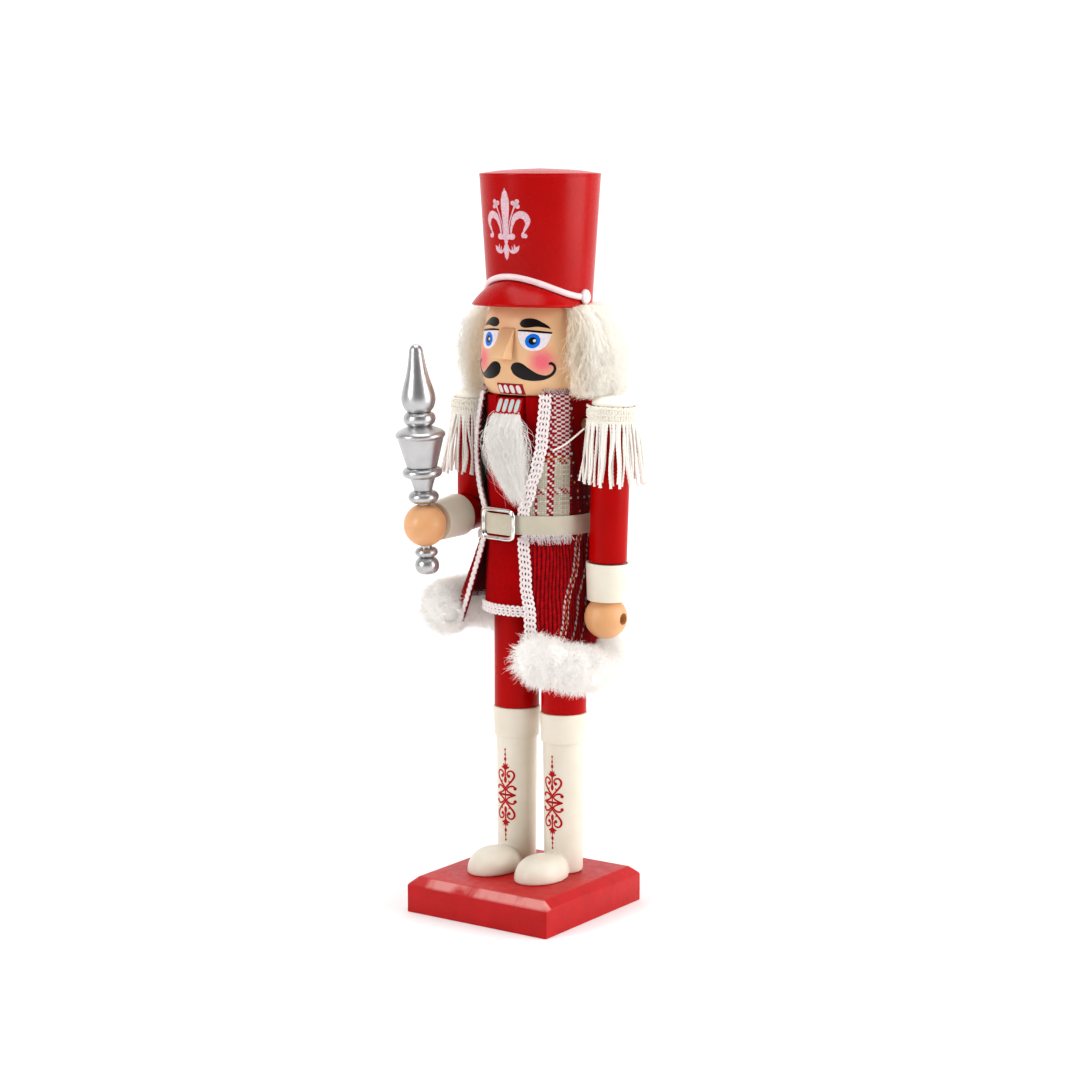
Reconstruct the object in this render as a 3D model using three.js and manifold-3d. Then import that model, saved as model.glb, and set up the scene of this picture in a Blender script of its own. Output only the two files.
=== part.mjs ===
// Nutcracker figure: a toy soldier on a square base, with a lever-worked jaw, pegged arms and a sceptre.
// Millimetres, +Z up, the figure faces -Y, its left hand is at +X. The origin is the centre of the base's underside.
// Azimuths are in degrees from the front (-Y), growing towards the figure's left (+X).
import * as THREE from "three";
import { mergeVertices } from "three/addons/utils/BufferGeometryUtils.js";
import Module from "manifold-3d";

const wasm = await Module();
wasm.setup();

// ---------------------------------------------------------------- driving dimensions
const HEIGHT = 380; // floor to the crown of the hat
const AXIS_Y = 14.2; // the figure stands this far behind the base's centre

const BASE = { width: 87, edge: 14.5, top: 18.5, chamfer: 4.3 };
const LEG = { x: 14.8, trouserR: 11.7, hip: 166 };
const BOOT = { footR: 10.05, topR: 10.75, cuffR: 12.2, cuffLow: 87, cuffTop: 102.8 };
const SHOE = { y: -20.5, halfWidth: 12.5, halfLength: 17, height: 12.3 };
const SCREW = { shankR: 2, headR: 4, headLow: 2, tip: 40 };
const LEG_DOWEL = { r: 3, low: 62, high: 186 };

const TORSO = { r: 26.2, top: 267.2 };
const SLOT = { half: 8.4, floor: 226 }; // cut from front to back for the jaw lever
const JAW = { half: 7.8, pinY: 3, pinZ: 247, pinR: 1.5, lip: 266 };

const HEAD = { low: 267.4, cheekR: 30.4, cheekZ: 283, browR: 25.3, browZ: 310.6, plugTop: 322 };
const NOSE = { half: 4, top: 300.5, low: 285.5, reach: 8 };
const NECK_DOWEL = { x: 18, y: 12, r: 2.5, low: 254, high: 282 };

const HAT = { low: 312.4, lowR: 26.6, rim: 377.5, rimR: 30.8, wall: 1.8 };
const VISOR = { centre: -12.3, r: 27.5, frontZ: 312, sideZ: 311, edge: 1, sweep: 80 };
const CORD = { peak: 326.5, side: 316.2, height: 3.2, depth: 1.6, sweep: 81 };
const BUTTON = { r: 3.6, depth: 2 };

const SHOULDER_Z = 252;
const ARM_R = 9.7;
const LEFT_ARM = { x: 43.9, leanDeg: 1.96, cuffTop: 182.7 };
const RIGHT_ARM = { x: -40.6, elbowZ: 203.7, droopDeg: 4.3, cuffStart: 16 };
const CUFF = { length: 19.4, wideR: 11.1, narrowR: 9.9 };
const HAND = { r: 11, holeR: 3.1, sink: 2 };
const SHOULDER_DOWEL = { r: 3, inner: 12 };
const WRIST_DOWEL = { r: 2.2, reach: 8 };

const EPAULETTE = { padR: 10.5, padLow: 262.2, padTop: 267, bandR: 13.1, bandLow: 254, wrapDeg: 300 };
const FRINGE = { low: 222.5, flare: 4.2, depth: 1.6 };

const TUNIC = { r: 27.5, wall: 0.8, top: 266.4, hem: 155.4, waist: 195 };
const HEM_BRAID = { height: 4.6, depth: 0.8, sweep: 50 };
const COAT = { r: 29, wall: 1.2, collar: 268.6, waist: 202 };
const BELT = { r: 30.2, wall: 1.1, low: 197, top: 207 };
const BUCKLE = { width: 22, height: 15.5, bar: 2.2, depth: 1.7, azimuth: -8.5 };
const BRAID = { width: 5.4, depth: 1.1 };

const GAP = 0.3; // between pieces that touch

// ---------------------------------------------------------------- small tools
const rad = THREE.MathUtils.degToRad;
const lerp = THREE.MathUtils.lerp;
const polar = (r, azimuth, z) =>
  new THREE.Vector3(r * Math.sin(rad(azimuth)), -r * Math.cos(rad(azimuth)), z);

// The value at x on a smooth curve through [x, value] pairs.
function through(pairs, x) {
  const last = pairs.length - 1;
  if (x <= pairs[0][0]) return pairs[0][1];
  if (x >= pairs[last][0]) return pairs[last][1];
  const i = pairs.findIndex((p) => p[0] > x) - 1;
  const t = (x - pairs[i][0]) / (pairs[i + 1][0] - pairs[i][0]);
  return lerp(pairs[i][1], pairs[i + 1][1], t * t * (3 - 2 * t));
}

function toSolid(geometry) {
  const bare = new THREE.BufferGeometry().setAttribute(
    "position",
    (geometry.index ? geometry.toNonIndexed() : geometry).getAttribute("position"),
  );
  const merged = mergeVertices(bare, 1e-3);
  return new wasm.Manifold(
    new wasm.Mesh({
      numProp: 3,
      vertProperties: merged.attributes.position.array,
      triVerts: new Uint32Array(merged.index.array),
    }),
  );
}

function toGeometry(solid) {
  const mesh = solid.getMesh();
  const geometry = new THREE.BufferGeometry();
  geometry.setAttribute("position", new THREE.BufferAttribute(mesh.vertProperties, 3));
  geometry.setIndex(new THREE.BufferAttribute(mesh.triVerts, 1));
  return geometry;
}

// geometry with every tool cut away
function cut(geometry, ...tools) {
  return toGeometry(tools.reduce((left, tool) => left.subtract(toSolid(tool)), toSolid(geometry)));
}

// A closed geometry whose faces point out, whichever way its outline ran.
function facingOut(geometry) {
  const p = geometry.getAttribute("position");
  const index = geometry.index.array;
  const [a, b, c] = [new THREE.Vector3(), new THREE.Vector3(), new THREE.Vector3()];
  let volume = 0;
  for (let i = 0; i < index.length; i += 3) {
    a.fromBufferAttribute(p, index[i]);
    b.fromBufferAttribute(p, index[i + 1]);
    c.fromBufferAttribute(p, index[i + 2]);
    volume += a.dot(b.cross(c));
  }
  if (volume < 0)
    for (let i = 0; i < index.length; i += 3)
      [index[i + 1], index[i + 2]] = [index[i + 2], index[i + 1]];
  return geometry;
}

// A profile of [radius, z] pairs turned about the Z axis.
function turned(profile, segments = 28) {
  const points = profile.map(([r, z]) => new THREE.Vector2(r, z));
  return facingOut(new THREE.LatheGeometry(points, segments).rotateX(Math.PI / 2));
}

// A ring between two radii, with [outer radius, z] pairs from low to high and a wall inside them.
function ring(outer, wall, segments = 32) {
  const inner = outer.map(([r, z]) => [r - wall, z]).reverse();
  return turned([...outer, ...inner, outer[0]], segments);
}

function box(low, high) {
  const size = high.map((h, i) => h - low[i]);
  const middle = high.map((h, i) => (h + low[i]) / 2);
  return new THREE.BoxGeometry(...size).translate(...middle);
}

function rodAlongX(r, from, to, y, z, segments = 14) {
  return new THREE.CylinderGeometry(r, r, Math.abs(to - from), segments)
    .rotateZ(Math.PI / 2)
    .translate((from + to) / 2, y, z);
}

function rodAlongZ(r, from, to, x = 0, y = 0, segments = 14) {
  return new THREE.CylinderGeometry(r, r, to - from, segments)
    .rotateX(Math.PI / 2)
    .translate(x, y, (from + to) / 2);
}

// An outline of [y, z] points extruded along X from -half to half.
function plateAcross(outline, half) {
  const shape = new THREE.Shape(outline.map(([y, z]) => new THREE.Vector2(y, z)));
  const turn = new THREE.Matrix4().makeBasis(
    new THREE.Vector3(0, 1, 0),
    new THREE.Vector3(0, 0, 1),
    new THREE.Vector3(1, 0, 0),
  );
  return new THREE.ExtrudeGeometry(shape, { depth: 2 * half, bevelEnabled: false })
    .applyMatrix4(turn)
    .translate(-half, 0, 0);
}

// A box of nu x nv x nt cells whose points (u, v, t), each from 0 to 1, are moved to place(u, v, t).
function warpedBox(nu, nv, nt, place) {
  const geometry = new THREE.BoxGeometry(1, 1, 1, nu, nv, nt);
  const p = geometry.getAttribute("position");
  for (let i = 0; i < p.count; i++)
    p.setXYZ(i, ...place(p.getX(i) + 0.5, p.getY(i) + 0.5, p.getZ(i) + 0.5));
  return facingOut(geometry);
}

function warped(geometry, place) {
  const p = geometry.getAttribute("position");
  for (let i = 0; i < p.count; i++) p.setXYZ(i, ...place(p.getX(i), p.getY(i), p.getZ(i)));
  return geometry;
}

// ---------------------------------------------------------------- materials
const paint = (color, roughness, metalness = 0) =>
  new THREE.MeshStandardMaterial({ color, roughness, metalness });
const RED_PAINT = paint(0xb5121b, 0.45);
const RED_PLASTIC = paint(0xc8141a, 0.35);
const CREAM_PLASTIC = paint(0xf0ebdc, 0.4);
const FLESH = paint(0xe3a876, 0.4);
const SILVER = paint(0xb4b6b8, 0.3, 0.9);
const PALE_PINK = paint(0xe9c9cf, 0.5);
const BARE_WOOD = paint(0xc9a26b, 0.7);
const STEEL = paint(0x8d9094, 0.35, 1);
const RED_FELT = paint(0x9c0d17, 0.95);
const WOVEN = paint(0xb4767a, 0.95);
const CHENILLE = paint(0xa01020, 0.95);
const WHITE_BRAID = paint(0xf2e8e6, 0.85);
const CREAM_FRINGE = paint(0xefe6d2, 0.85);
const WHITE_FUR = paint(0xf5f2ec, 0.95);
const CREAM_LEATHER = paint(0xd9d4c2, 0.5);

// ---------------------------------------------------------------- groups
const nutcracker = new THREE.Group();
const figure = new THREE.Group();
figure.position.y = AXIS_Y;
nutcracker.add(figure);

function add(group, name, geometry, material) {
  const mesh = new THREE.Mesh(geometry, material);
  mesh.name = name;
  group.add(mesh);
}

const SIDES = [
  { side: "left", s: 1 },
  { side: "right", s: -1 },
];

// ---------------------------------------------------------------- base and screws
function squareBlock() {
  const corner = (half) => half * Math.SQRT2;
  const half = BASE.width / 2;
  return turned(
    [
      [0, 0],
      [corner(half), 0],
      [corner(half), BASE.edge],
      [corner(half - BASE.chamfer), BASE.top],
      [0, BASE.top],
    ],
    4,
  ).rotateZ(Math.PI / 4);
}

const screwHole = (x, y) =>
  turned([
    [0, -1],
    [SCREW.headR + 0.4, -1],
    [SCREW.headR + 0.4, SCREW.headLow],
    [SCREW.shankR + 0.35, SCREW.headLow + 2.4],
    [SCREW.shankR + 0.35, SCREW.tip + 1],
    [0, SCREW.tip + 1],
  ], 20).translate(x, y, 0);

const screwHoles = [screwHole(LEG.x, AXIS_Y), screwHole(-LEG.x, AXIS_Y)];
add(nutcracker, "base", cut(squareBlock(), ...screwHoles), RED_PAINT);

for (const { side, s } of SIDES) {
  const screw = turned([
    [0, SCREW.headLow],
    [SCREW.headR, SCREW.headLow],
    [SCREW.shankR, SCREW.headLow + 2.2],
    [SCREW.shankR, SCREW.tip - 5],
    [0.3, SCREW.tip],
    [0, SCREW.tip],
  ], 16).translate(s * LEG.x, 0, 0);
  add(figure, `base_screw_${side}`, screw, STEEL);
}

// ---------------------------------------------------------------- legs
for (const { side, s } of SIDES) {
  const x = s * LEG.x;
  const dowelHole = rodAlongZ(LEG_DOWEL.r + 0.2, LEG_DOWEL.low - 1, LEG_DOWEL.high + 1, x);
  const shaft = turned([
    [0, BASE.top],
    [BOOT.footR, BASE.top],
    [BOOT.topR, BOOT.cuffLow],
    [BOOT.topR, BOOT.cuffTop - GAP],
    [0, BOOT.cuffTop - GAP],
  ], 28).translate(x, 0, 0);
  const screwPath = rodAlongZ(SCREW.shankR + 0.35, 0, SCREW.tip + 1, x);
  add(figure, `boot_${side}`, cut(shaft, dowelHole, screwPath), CREAM_PLASTIC);

  const cuff = turned([
    [BOOT.topR + GAP, BOOT.cuffLow],
    [BOOT.cuffR - 0.3, BOOT.cuffLow],
    [BOOT.cuffR, BOOT.cuffLow + 0.5],
    [BOOT.cuffR, BOOT.cuffTop - 0.8],
    [BOOT.cuffR - 0.4, BOOT.cuffTop - GAP],
    [BOOT.topR + GAP, BOOT.cuffTop - GAP],
    [BOOT.topR + GAP, BOOT.cuffLow],
  ], 28).translate(x, 0, 0);
  add(figure, `boot_cuff_${side}`, cuff, CREAM_PLASTIC);

  const toe = new THREE.SphereGeometry(1, 20, 12)
    .rotateX(Math.PI / 2)
    .scale(SHOE.halfWidth, SHOE.halfLength, SHOE.height)
    .translate(x, SHOE.y, BASE.top);
  const floorBox = box([-60, -60, -40], [60, 60, BASE.top]);
  add(
    figure,
    `shoe_${side}`,
    cut(toe, floorBox, rodAlongZ(BOOT.topR - 0.3, 0, 60, x, 0, 32)),
    CREAM_PLASTIC,
  );

  const trouser = turned([
    [0, BOOT.cuffTop],
    [LEG.trouserR, BOOT.cuffTop],
    [LEG.trouserR, LEG.hip],
    [0, LEG.hip],
  ], 28).translate(x, 0, 0);
  add(figure, `trouser_leg_${side}`, cut(trouser, dowelHole), RED_PAINT);
  add(figure, `leg_dowel_${side}`, rodAlongZ(LEG_DOWEL.r, LEG_DOWEL.low, LEG_DOWEL.high, x), BARE_WOOD);
}

// ---------------------------------------------------------------- torso
const shoulderAxis = { left: LEFT_ARM.x, right: RIGHT_ARM.x };
const neckHoles = SIDES.map(({ s }) =>
  rodAlongZ(NECK_DOWEL.r + 0.2, NECK_DOWEL.low - 1, NECK_DOWEL.high + 1, s * NECK_DOWEL.x, NECK_DOWEL.y),
);
const shoulderHoles = SIDES.map(({ s }) =>
  rodAlongX(SHOULDER_DOWEL.r + 0.3, s * (SHOULDER_DOWEL.inner - 0.5), s * 60, 0, SHOULDER_Z),
);
const legHoles = SIDES.map(({ s }) =>
  rodAlongZ(LEG_DOWEL.r + 0.2, LEG.hip - 2, LEG_DOWEL.high + 1, s * LEG.x),
);
const leverSlot = box([-SLOT.half, -60, SLOT.floor], [SLOT.half, 60, TORSO.top + 20]);
const pinHole = rodAlongX(JAW.pinR + 0.1, -60, 60, JAW.pinY, JAW.pinZ);

const torsoBlock = turned([
  [0, LEG.hip],
  [TORSO.r - 1.5, LEG.hip],
  [TORSO.r, LEG.hip + 1.5],
  [TORSO.r, TORSO.top],
  [0, TORSO.top],
], 32);
add(
  figure,
  "torso",
  cut(torsoBlock, leverSlot, pinHole, ...neckHoles, ...shoulderHoles, ...legHoles),
  RED_PAINT,
);
for (const { side, s } of SIDES) {
  add(
    figure,
    `neck_dowel_${side}`,
    rodAlongZ(NECK_DOWEL.r, NECK_DOWEL.low, NECK_DOWEL.high, s * NECK_DOWEL.x, NECK_DOWEL.y),
    BARE_WOOD,
  );
}
add(figure, "jaw_pin", rodAlongX(JAW.pinR, -TORSO.r + 1.5, TORSO.r - 1.5, JAW.pinY, JAW.pinZ), STEEL);

// ---------------------------------------------------------------- jaw lever
// Side outline: the lip and chin at the front, the arm through the slot, the handle down the back.
const leverOutline = [
  [-26.2, JAW.lip],
  [-29.6, 258.5],
  [-29.6, 244],
  [-26, 240],
  [27, 240],
  [31.6, 236],
  [31.8, 213],
  [33.6, 210.6],
  [37, 210.6],
  [38.4, 213],
  [38, 249],
  [33, 253.4],
  [-14, 253.4],
  [-19, JAW.lip],
];
const leverBore = rodAlongX(JAW.pinR + 0.1, -20, 20, JAW.pinY, JAW.pinZ);
add(figure, "jaw_lever", cut(plateAcross(leverOutline, JAW.half), leverBore), RED_PAINT);

// The beard hangs from the chin and leans a little to the figure's left at its tip.
const BEARD = { top: 259, low: 211, backY: -30, depth: 5.6 };
const beardHalf = [[211, 2.2], [217, 6], [225, 9.5], [238, 12], [250, 10], [259, 7.5]];
const beardLean = [[211, 8], [225, 4], [240, 0.8], [259, 0]];
const beardBall = new THREE.SphereGeometry(1, 16, 10).rotateX(Math.PI / 2);
const beard = warped(beardBall, (x, y, z) => {
  const height = lerp(BEARD.low, BEARD.top, (z + 1) / 2);
  const round = Math.sqrt(Math.max(1e-9, 1 - z * z));
  const across = x / Math.max(round, 1e-3);
  const half = through(beardHalf, height) * Math.min(1, round * 2.2);
  const cling = 0.9 * (across * across) * (half / 12); // the sides wrap back round the chest
  const fullness = Math.min(1, round * 1.6);
  const depth = (BEARD.depth / 2) * (1 + y * fullness);
  return [through(beardLean, height) + across * half, BEARD.backY - BEARD.depth + depth + cling, height];
});
add(figure, "beard", beard, WHITE_FUR);

// ---------------------------------------------------------------- head
const headProfile = [
  [0, HEAD.low],
  [26, HEAD.low],
  [27.2, HEAD.low + 1.4],
  [28.9, 273],
  [HEAD.cheekR - 0.2, 279.5],
  [HEAD.cheekR, HEAD.cheekZ],
  [30.1, 289],
  [28.9, 297.5],
  [27.2, 305],
  [HEAD.browR, HEAD.browZ],
  [24.5, HAT.low],
  [24.4, HEAD.plugTop],
  [0, HEAD.plugTop],
];
add(figure, "head", cut(turned(headProfile, 32), ...neckHoles), FLESH);

const headRadius = (z) => through(headProfile.slice(2, 11).map(([r, h]) => [h, r]), z);
const noseWedge = plateAcross(
  [
    [-headRadius(NOSE.top) + 5, NOSE.top + 0.6],
    [-headRadius(NOSE.top) - 0.6, NOSE.top + 0.6],
    [-headRadius(NOSE.low) - NOSE.reach, NOSE.low + 2],
    [-headRadius(NOSE.low) - NOSE.reach, NOSE.low + 0.6],
    [-headRadius(NOSE.low) + 5, NOSE.low - 0.6],
  ],
  NOSE.half,
);
const headSwell = turned(headProfile.map(([r, z]) => [r > 0 ? r + 0.15 : 0, z]), 32);
add(figure, "nose", cut(noseWedge, headSwell), FLESH);

// Fur glued round the sides and back of the head, from cheek to cheek.
const HAIR = { edgeDeg: 66, low: 271, top: 310.6, nape: 264.6, napeHalfDeg: 46 };
const hairOuter = [[264, 38], [272, 42.5], [284, 44], [296, 42.5], [305, 37], [310.6, 30]];
const hair = warpedBox(20, 5, 1, (u, v, t) => {
  const azimuth = lerp(HAIR.edgeDeg, 360 - HAIR.edgeDeg, u);
  const fromBack = Math.abs(azimuth - 180);
  const low = fromBack < HAIR.napeHalfDeg ? HAIR.nape : HAIR.low;
  const z = lerp(low, HAIR.top, v);
  const inner = headRadius(Math.max(z, HEAD.low + 1.4)) + 3 * GAP;
  const swell = through([[0, 0.62], [12, 1]], 180 - HAIR.edgeDeg - fromBack);
  const outer = lerp(inner, through(hairOuter, z), swell);
  return polar(lerp(inner, outer, t), azimuth, z);
});
add(figure, "hair", hair, WHITE_FUR);

// ---------------------------------------------------------------- hat
const hatRadius = (z) => lerp(HAT.lowR, HAT.rimR, (z - HAT.low) / (HAT.rim - HAT.low));
const crown = turned([
  [HAT.lowR, HAT.low],
  [HAT.rimR, HAT.rim - 0.6],
  [HAT.rimR - 0.6, HAT.rim],
  [HAT.rimR - 7, HAT.rim + 1.1],
  [HAT.rimR - 17, HEIGHT - 0.4],
  [0, HEIGHT],
  [0, HEIGHT - HAT.wall],
  [HAT.rimR - HAT.wall, HAT.rim - HAT.wall],
  [HAT.lowR - HAT.wall, HAT.low],
  [HAT.lowR, HAT.low],
], 32);
add(figure, "hat_crown", crown, RED_PLASTIC);

const cordHeight = (azimuth) =>
  CORD.side + (CORD.peak - CORD.side) * Math.cos(rad(azimuth)) ** 2;

// How far the visor's edge circle lies from the hat's axis at an azimuth.
function visorReach(azimuth) {
  const front = -VISOR.centre * Math.cos(rad(azimuth));
  const across = VISOR.centre * Math.sin(rad(azimuth));
  return front + Math.sqrt(VISOR.r ** 2 - across ** 2);
}

const visor = warpedBox(20, 3, 1, (u, v, t) => {
  const azimuth = lerp(-VISOR.sweep, VISOR.sweep, u);
  const topZ = cordHeight(azimuth) - CORD.height / 2 - 0.2;
  const inner = t > 0.5 ? hatRadius(lerp(topZ, HAT.low, v * 0.2)) + 0.12 : HAT.lowR + 0.25;
  const outer = Math.max(visorReach(azimuth), HAT.lowR + 1.6);
  const edgeZ = lerp(VISOR.sideZ, VISOR.frontZ, Math.cos(rad(azimuth)) ** 2);
  const topSide = lerp(topZ, edgeZ + VISOR.edge, lerp(v, v ** 3, 0.35));
  const underside = lerp(HAT.low + 0.2, edgeZ, v);
  return polar(lerp(inner, outer, v), azimuth, t > 0.5 ? topSide : underside);
});
add(figure, "hat_visor", visor, RED_PLASTIC);

const cord = warpedBox(20, 1, 1, (u, v, t) => {
  const azimuth = lerp(-CORD.sweep, CORD.sweep, u);
  const z = cordHeight(azimuth) + (v - 0.5) * CORD.height;
  return polar(hatRadius(z) + 0.15 + t * CORD.depth, azimuth, z);
});
add(figure, "hat_cord", cord, PALE_PINK);

for (const { side, s } of SIDES) {
  const from = hatRadius(CORD.side + BUTTON.r) + 0.15;
  add(
    figure,
    `hat_button_${side}`,
    rodAlongX(BUTTON.r, s * from, s * (from + BUTTON.depth), 0, CORD.side, 18),
    PALE_PINK,
  );
}

// ---------------------------------------------------------------- hand, cuff and epaulette, along a local Z axis
// A hand: a ball under its cuff's plane, bored across for a rod, with a peg hole to the wrist.
function handBall(cuffEnd, holeAxis, leanDeg) {
  const centre = cuffEnd - HAND.r + HAND.sink;
  const ball = new THREE.SphereGeometry(HAND.r, 16, 10).rotateX(Math.PI / 2).translate(0, 0, centre);
  const above = box([-20, -20, cuffEnd - 0.2], [20, 20, cuffEnd + 20]);
  const bore = rodAlongX(HAND.holeR, -20, 20, 0, 0, 20)
    .rotateY(-rad(leanDeg))
    .rotateZ(holeAxis === "x" ? 0 : Math.PI / 2)
    .translate(0, 0, centre);
  const pegHole = rodAlongZ(WRIST_DOWEL.r + 0.2, centre + 4.2, cuffEnd + 5);
  return cut(ball, above, bore, pegHole);
}

function cuffCone(top) {
  const cone = turned([
    [0, top - CUFF.length],
    [CUFF.narrowR, top - CUFF.length],
    [CUFF.wideR, top],
    [0, top],
  ], 28);
  return cut(cone, rodAlongZ(WRIST_DOWEL.r + 0.2, top - CUFF.length - 1, top + 1));
}

const wristDowel = (cuffEnd) =>
  rodAlongZ(WRIST_DOWEL.r, cuffEnd - HAND.r + HAND.sink + 4.6, cuffEnd + CUFF.length + WRIST_DOWEL.reach);

const wristHole = (armEnd) =>
  rodAlongZ(WRIST_DOWEL.r + 0.2, armEnd - 1, armEnd + WRIST_DOWEL.reach + 1);

// outward is the sign of X on the side away from the body
function addEpaulette(group, side, outward) {
  const local = (z) => z - SHOULDER_Z;
  const pad = turned([
    [0, local(EPAULETTE.padLow)],
    [EPAULETTE.padR, local(EPAULETTE.padLow)],
    [EPAULETTE.padR, local(EPAULETTE.padTop - 2.2)],
    [EPAULETTE.padR - 2.5, local(EPAULETTE.padTop - 0.5)],
    [0, local(EPAULETTE.padTop)],
  ], 20);
  add(group, `epaulette_pad_${side}`, pad, CREAM_FRINGE);

  const start = outward * 90 - EPAULETTE.wrapDeg / 2;
  const around = (u) => start + u * EPAULETTE.wrapDeg;
  const band = warpedBox(18, 1, 1, (u, v, t) =>
    polar(EPAULETTE.bandR - 1.7 * (1 - t), around(u), local(lerp(EPAULETTE.bandLow, EPAULETTE.padLow - 0.2, v))),
  );
  add(group, `epaulette_band_${side}`, band, CREAM_FRINGE);

  const fringe = warpedBox(18, 2, 1, (u, v, t) => {
    const away = Math.max(0, Math.cos(rad(around(u) - outward * 90)) + 0.35) / 1.35;
    const r = EPAULETTE.bandR - 0.1 + FRINGE.flare * away * (1 - v) ** 1.3;
    return polar(r - FRINGE.depth * (1 - t), around(u), local(lerp(FRINGE.low, EPAULETTE.bandLow - GAP, v)));
  });
  add(group, `epaulette_fringe_${side}`, fringe, CREAM_FRINGE);
}

// A shoulder end: the arm's round top, with the hole for its dowel on the body's side.
const shoulderDome = (low, outward, leanDeg) =>
  cut(
    turned([
      [0, low],
      [ARM_R, low],
      [ARM_R, 8.4],
      [ARM_R - 1.2, 9.9],
      [0, 9.9],
    ], 28),
    rodAlongX(SHOULDER_DOWEL.r + 0.3, outward * 5, -outward * 30, 0, 0).rotateY(-rad(leanDeg)),
  );

// ---------------------------------------------------------------- left arm, hanging straight
const leftArm = new THREE.Group();
leftArm.position.set(LEFT_ARM.x, 0, SHOULDER_Z);
leftArm.rotation.y = rad(LEFT_ARM.leanDeg);
figure.add(leftArm);
const leftCuffTop = LEFT_ARM.cuffTop - SHOULDER_Z;
const leftCuffEnd = leftCuffTop - CUFF.length;
const leftUpperArm = shoulderDome(leftCuffTop + 0.2, 1, LEFT_ARM.leanDeg);
add(leftArm, "arm_left", cut(leftUpperArm, wristHole(leftCuffTop)), RED_PAINT);
add(leftArm, "cuff_left", cuffCone(leftCuffTop), CREAM_PLASTIC);
add(leftArm, "hand_left", handBall(leftCuffEnd, "x", LEFT_ARM.leanDeg), FLESH);
add(leftArm, "wrist_dowel_left", wristDowel(leftCuffEnd), BARE_WOOD);
addEpaulette(leftArm, "left", 1);

// ---------------------------------------------------------------- right arm, bent forward at the elbow
const rightArm = new THREE.Group();
rightArm.position.set(RIGHT_ARM.x, 0, SHOULDER_Z);
figure.add(rightArm);
const elbowDrop = RIGHT_ARM.elbowZ - SHOULDER_Z;
// The mitre plane at the elbow runs between the upper arm's and the forearm's directions.
const mitreTilt = rad((90 - RIGHT_ARM.droopDeg) / 2);
const belowMitre = box([-30, -40, -80], [30, 60, 0.1]).rotateX(-mitreTilt).translate(0, 0, elbowDrop);
add(rightArm, "upper_arm_right", cut(shoulderDome(elbowDrop - 16, -1, 0), belowMitre), RED_PAINT);

// The forearm's own frame: +Z runs back up the forearm, from the hand to the elbow.
const forearm = new THREE.Group();
forearm.position.set(0, 0, elbowDrop);
forearm.rotation.x = -rad(90 - RIGHT_ARM.droopDeg);
rightArm.add(forearm);
const sleeve = rodAlongZ(ARM_R, -RIGHT_ARM.cuffStart + 0.2, 16, 0, 0, 28);
const behindMitre = box([-30, -60, -0.1], [30, 60, 80]).rotateX(mitreTilt);
add(forearm, "forearm_right", cut(sleeve, behindMitre, wristHole(-RIGHT_ARM.cuffStart)), RED_PAINT);
const rightCuffEnd = -RIGHT_ARM.cuffStart - CUFF.length;
add(forearm, "cuff_right", cuffCone(-RIGHT_ARM.cuffStart), CREAM_PLASTIC);
add(forearm, "hand_right", handBall(rightCuffEnd, "y", 0), FLESH);
add(forearm, "wrist_dowel_right", wristDowel(rightCuffEnd), BARE_WOOD);
addEpaulette(rightArm, "right", -1);

for (const { side, s } of SIDES) {
  const outer = Math.abs(shoulderAxis[side]) + 4;
  add(
    figure,
    `shoulder_dowel_${side}`,
    rodAlongX(SHOULDER_DOWEL.r, s * SHOULDER_DOWEL.inner, s * outer, 0, SHOULDER_Z),
    BARE_WOOD,
  );
}

// ---------------------------------------------------------------- sceptre, standing across the right hand
const sceptre = new THREE.Group();
sceptre.position.set(0, 0, rightCuffEnd - HAND.r + HAND.sink);
sceptre.rotation.x = Math.PI / 2;
forearm.add(sceptre);
const ROD_R = 2.9;
// Beads as half turns between two necks: [centre, half height, radius, neck radius].
function bead(centre, half, r, neck, steps = 4) {
  return Array.from({ length: steps + 1 }, (_, i) => {
    const angle = -Math.PI / 2 + (i * Math.PI) / steps;
    return [neck + (r - neck) * Math.cos(angle), centre + half * Math.sin(angle)];
  });
}
const finial = turned([
  [0, 11.2],
  ...bead(14.6, 3.3, 7.8, 3.6),
  [4.7, 18.2],
  [6.6, 24.2],
  ...bead(27.3, 2.6, 10.2, 7),
  [7.9, 30.2],
  [11.8, 45],
  [12.6, 45.9],
  [12.7, 47.2],
  [11.6, 48.7],
  [5.9, 51],
  ...bead(54.8, 3.4, 8.2, 5.4),
  [6, 58.6],
  [7.9, 61],
  [8.66, 64.4],
  [8.1, 68.8],
  [6.8, 73.2],
  [4.5, 82],
  [3.4, 89.4],
  [2.2, 91.8],
  [0, 92.6],
], 18);
const finialSocket = rodAlongZ(ROD_R + 0.15, 0, 20);
add(sceptre, "sceptre_finial", cut(finial, finialSocket), SILVER);
add(sceptre, "sceptre_rod", rodAlongZ(ROD_R, -18, 19.5, 0, 0, 20), STEEL);
const pommel = turned([[0, -25.4], ...bead(-21, 4.4, 6.2, 3), ...bead(-14.1, 2.2, 5.9, 4), [0, -11.9]], 18);
add(sceptre, "sceptre_pommel", cut(pommel, rodAlongZ(ROD_R + 0.15, -18.5, 0)), SILVER);

// ---------------------------------------------------------------- tunic: felt under the coat
// Turns [radius, z] rings into a sheath that follows flare(azimuth, z).
function sheath(outer, wall, flare, segments = 24) {
  return warped(ring(outer, wall, segments), (x, y, z) => {
    const r = Math.hypot(x, y);
    const azimuth = THREE.MathUtils.radToDeg(Math.atan2(x, -y));
    const k = (r + flare(azimuth, z)) / r;
    return [x * k, y * k, z];
  });
}
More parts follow.
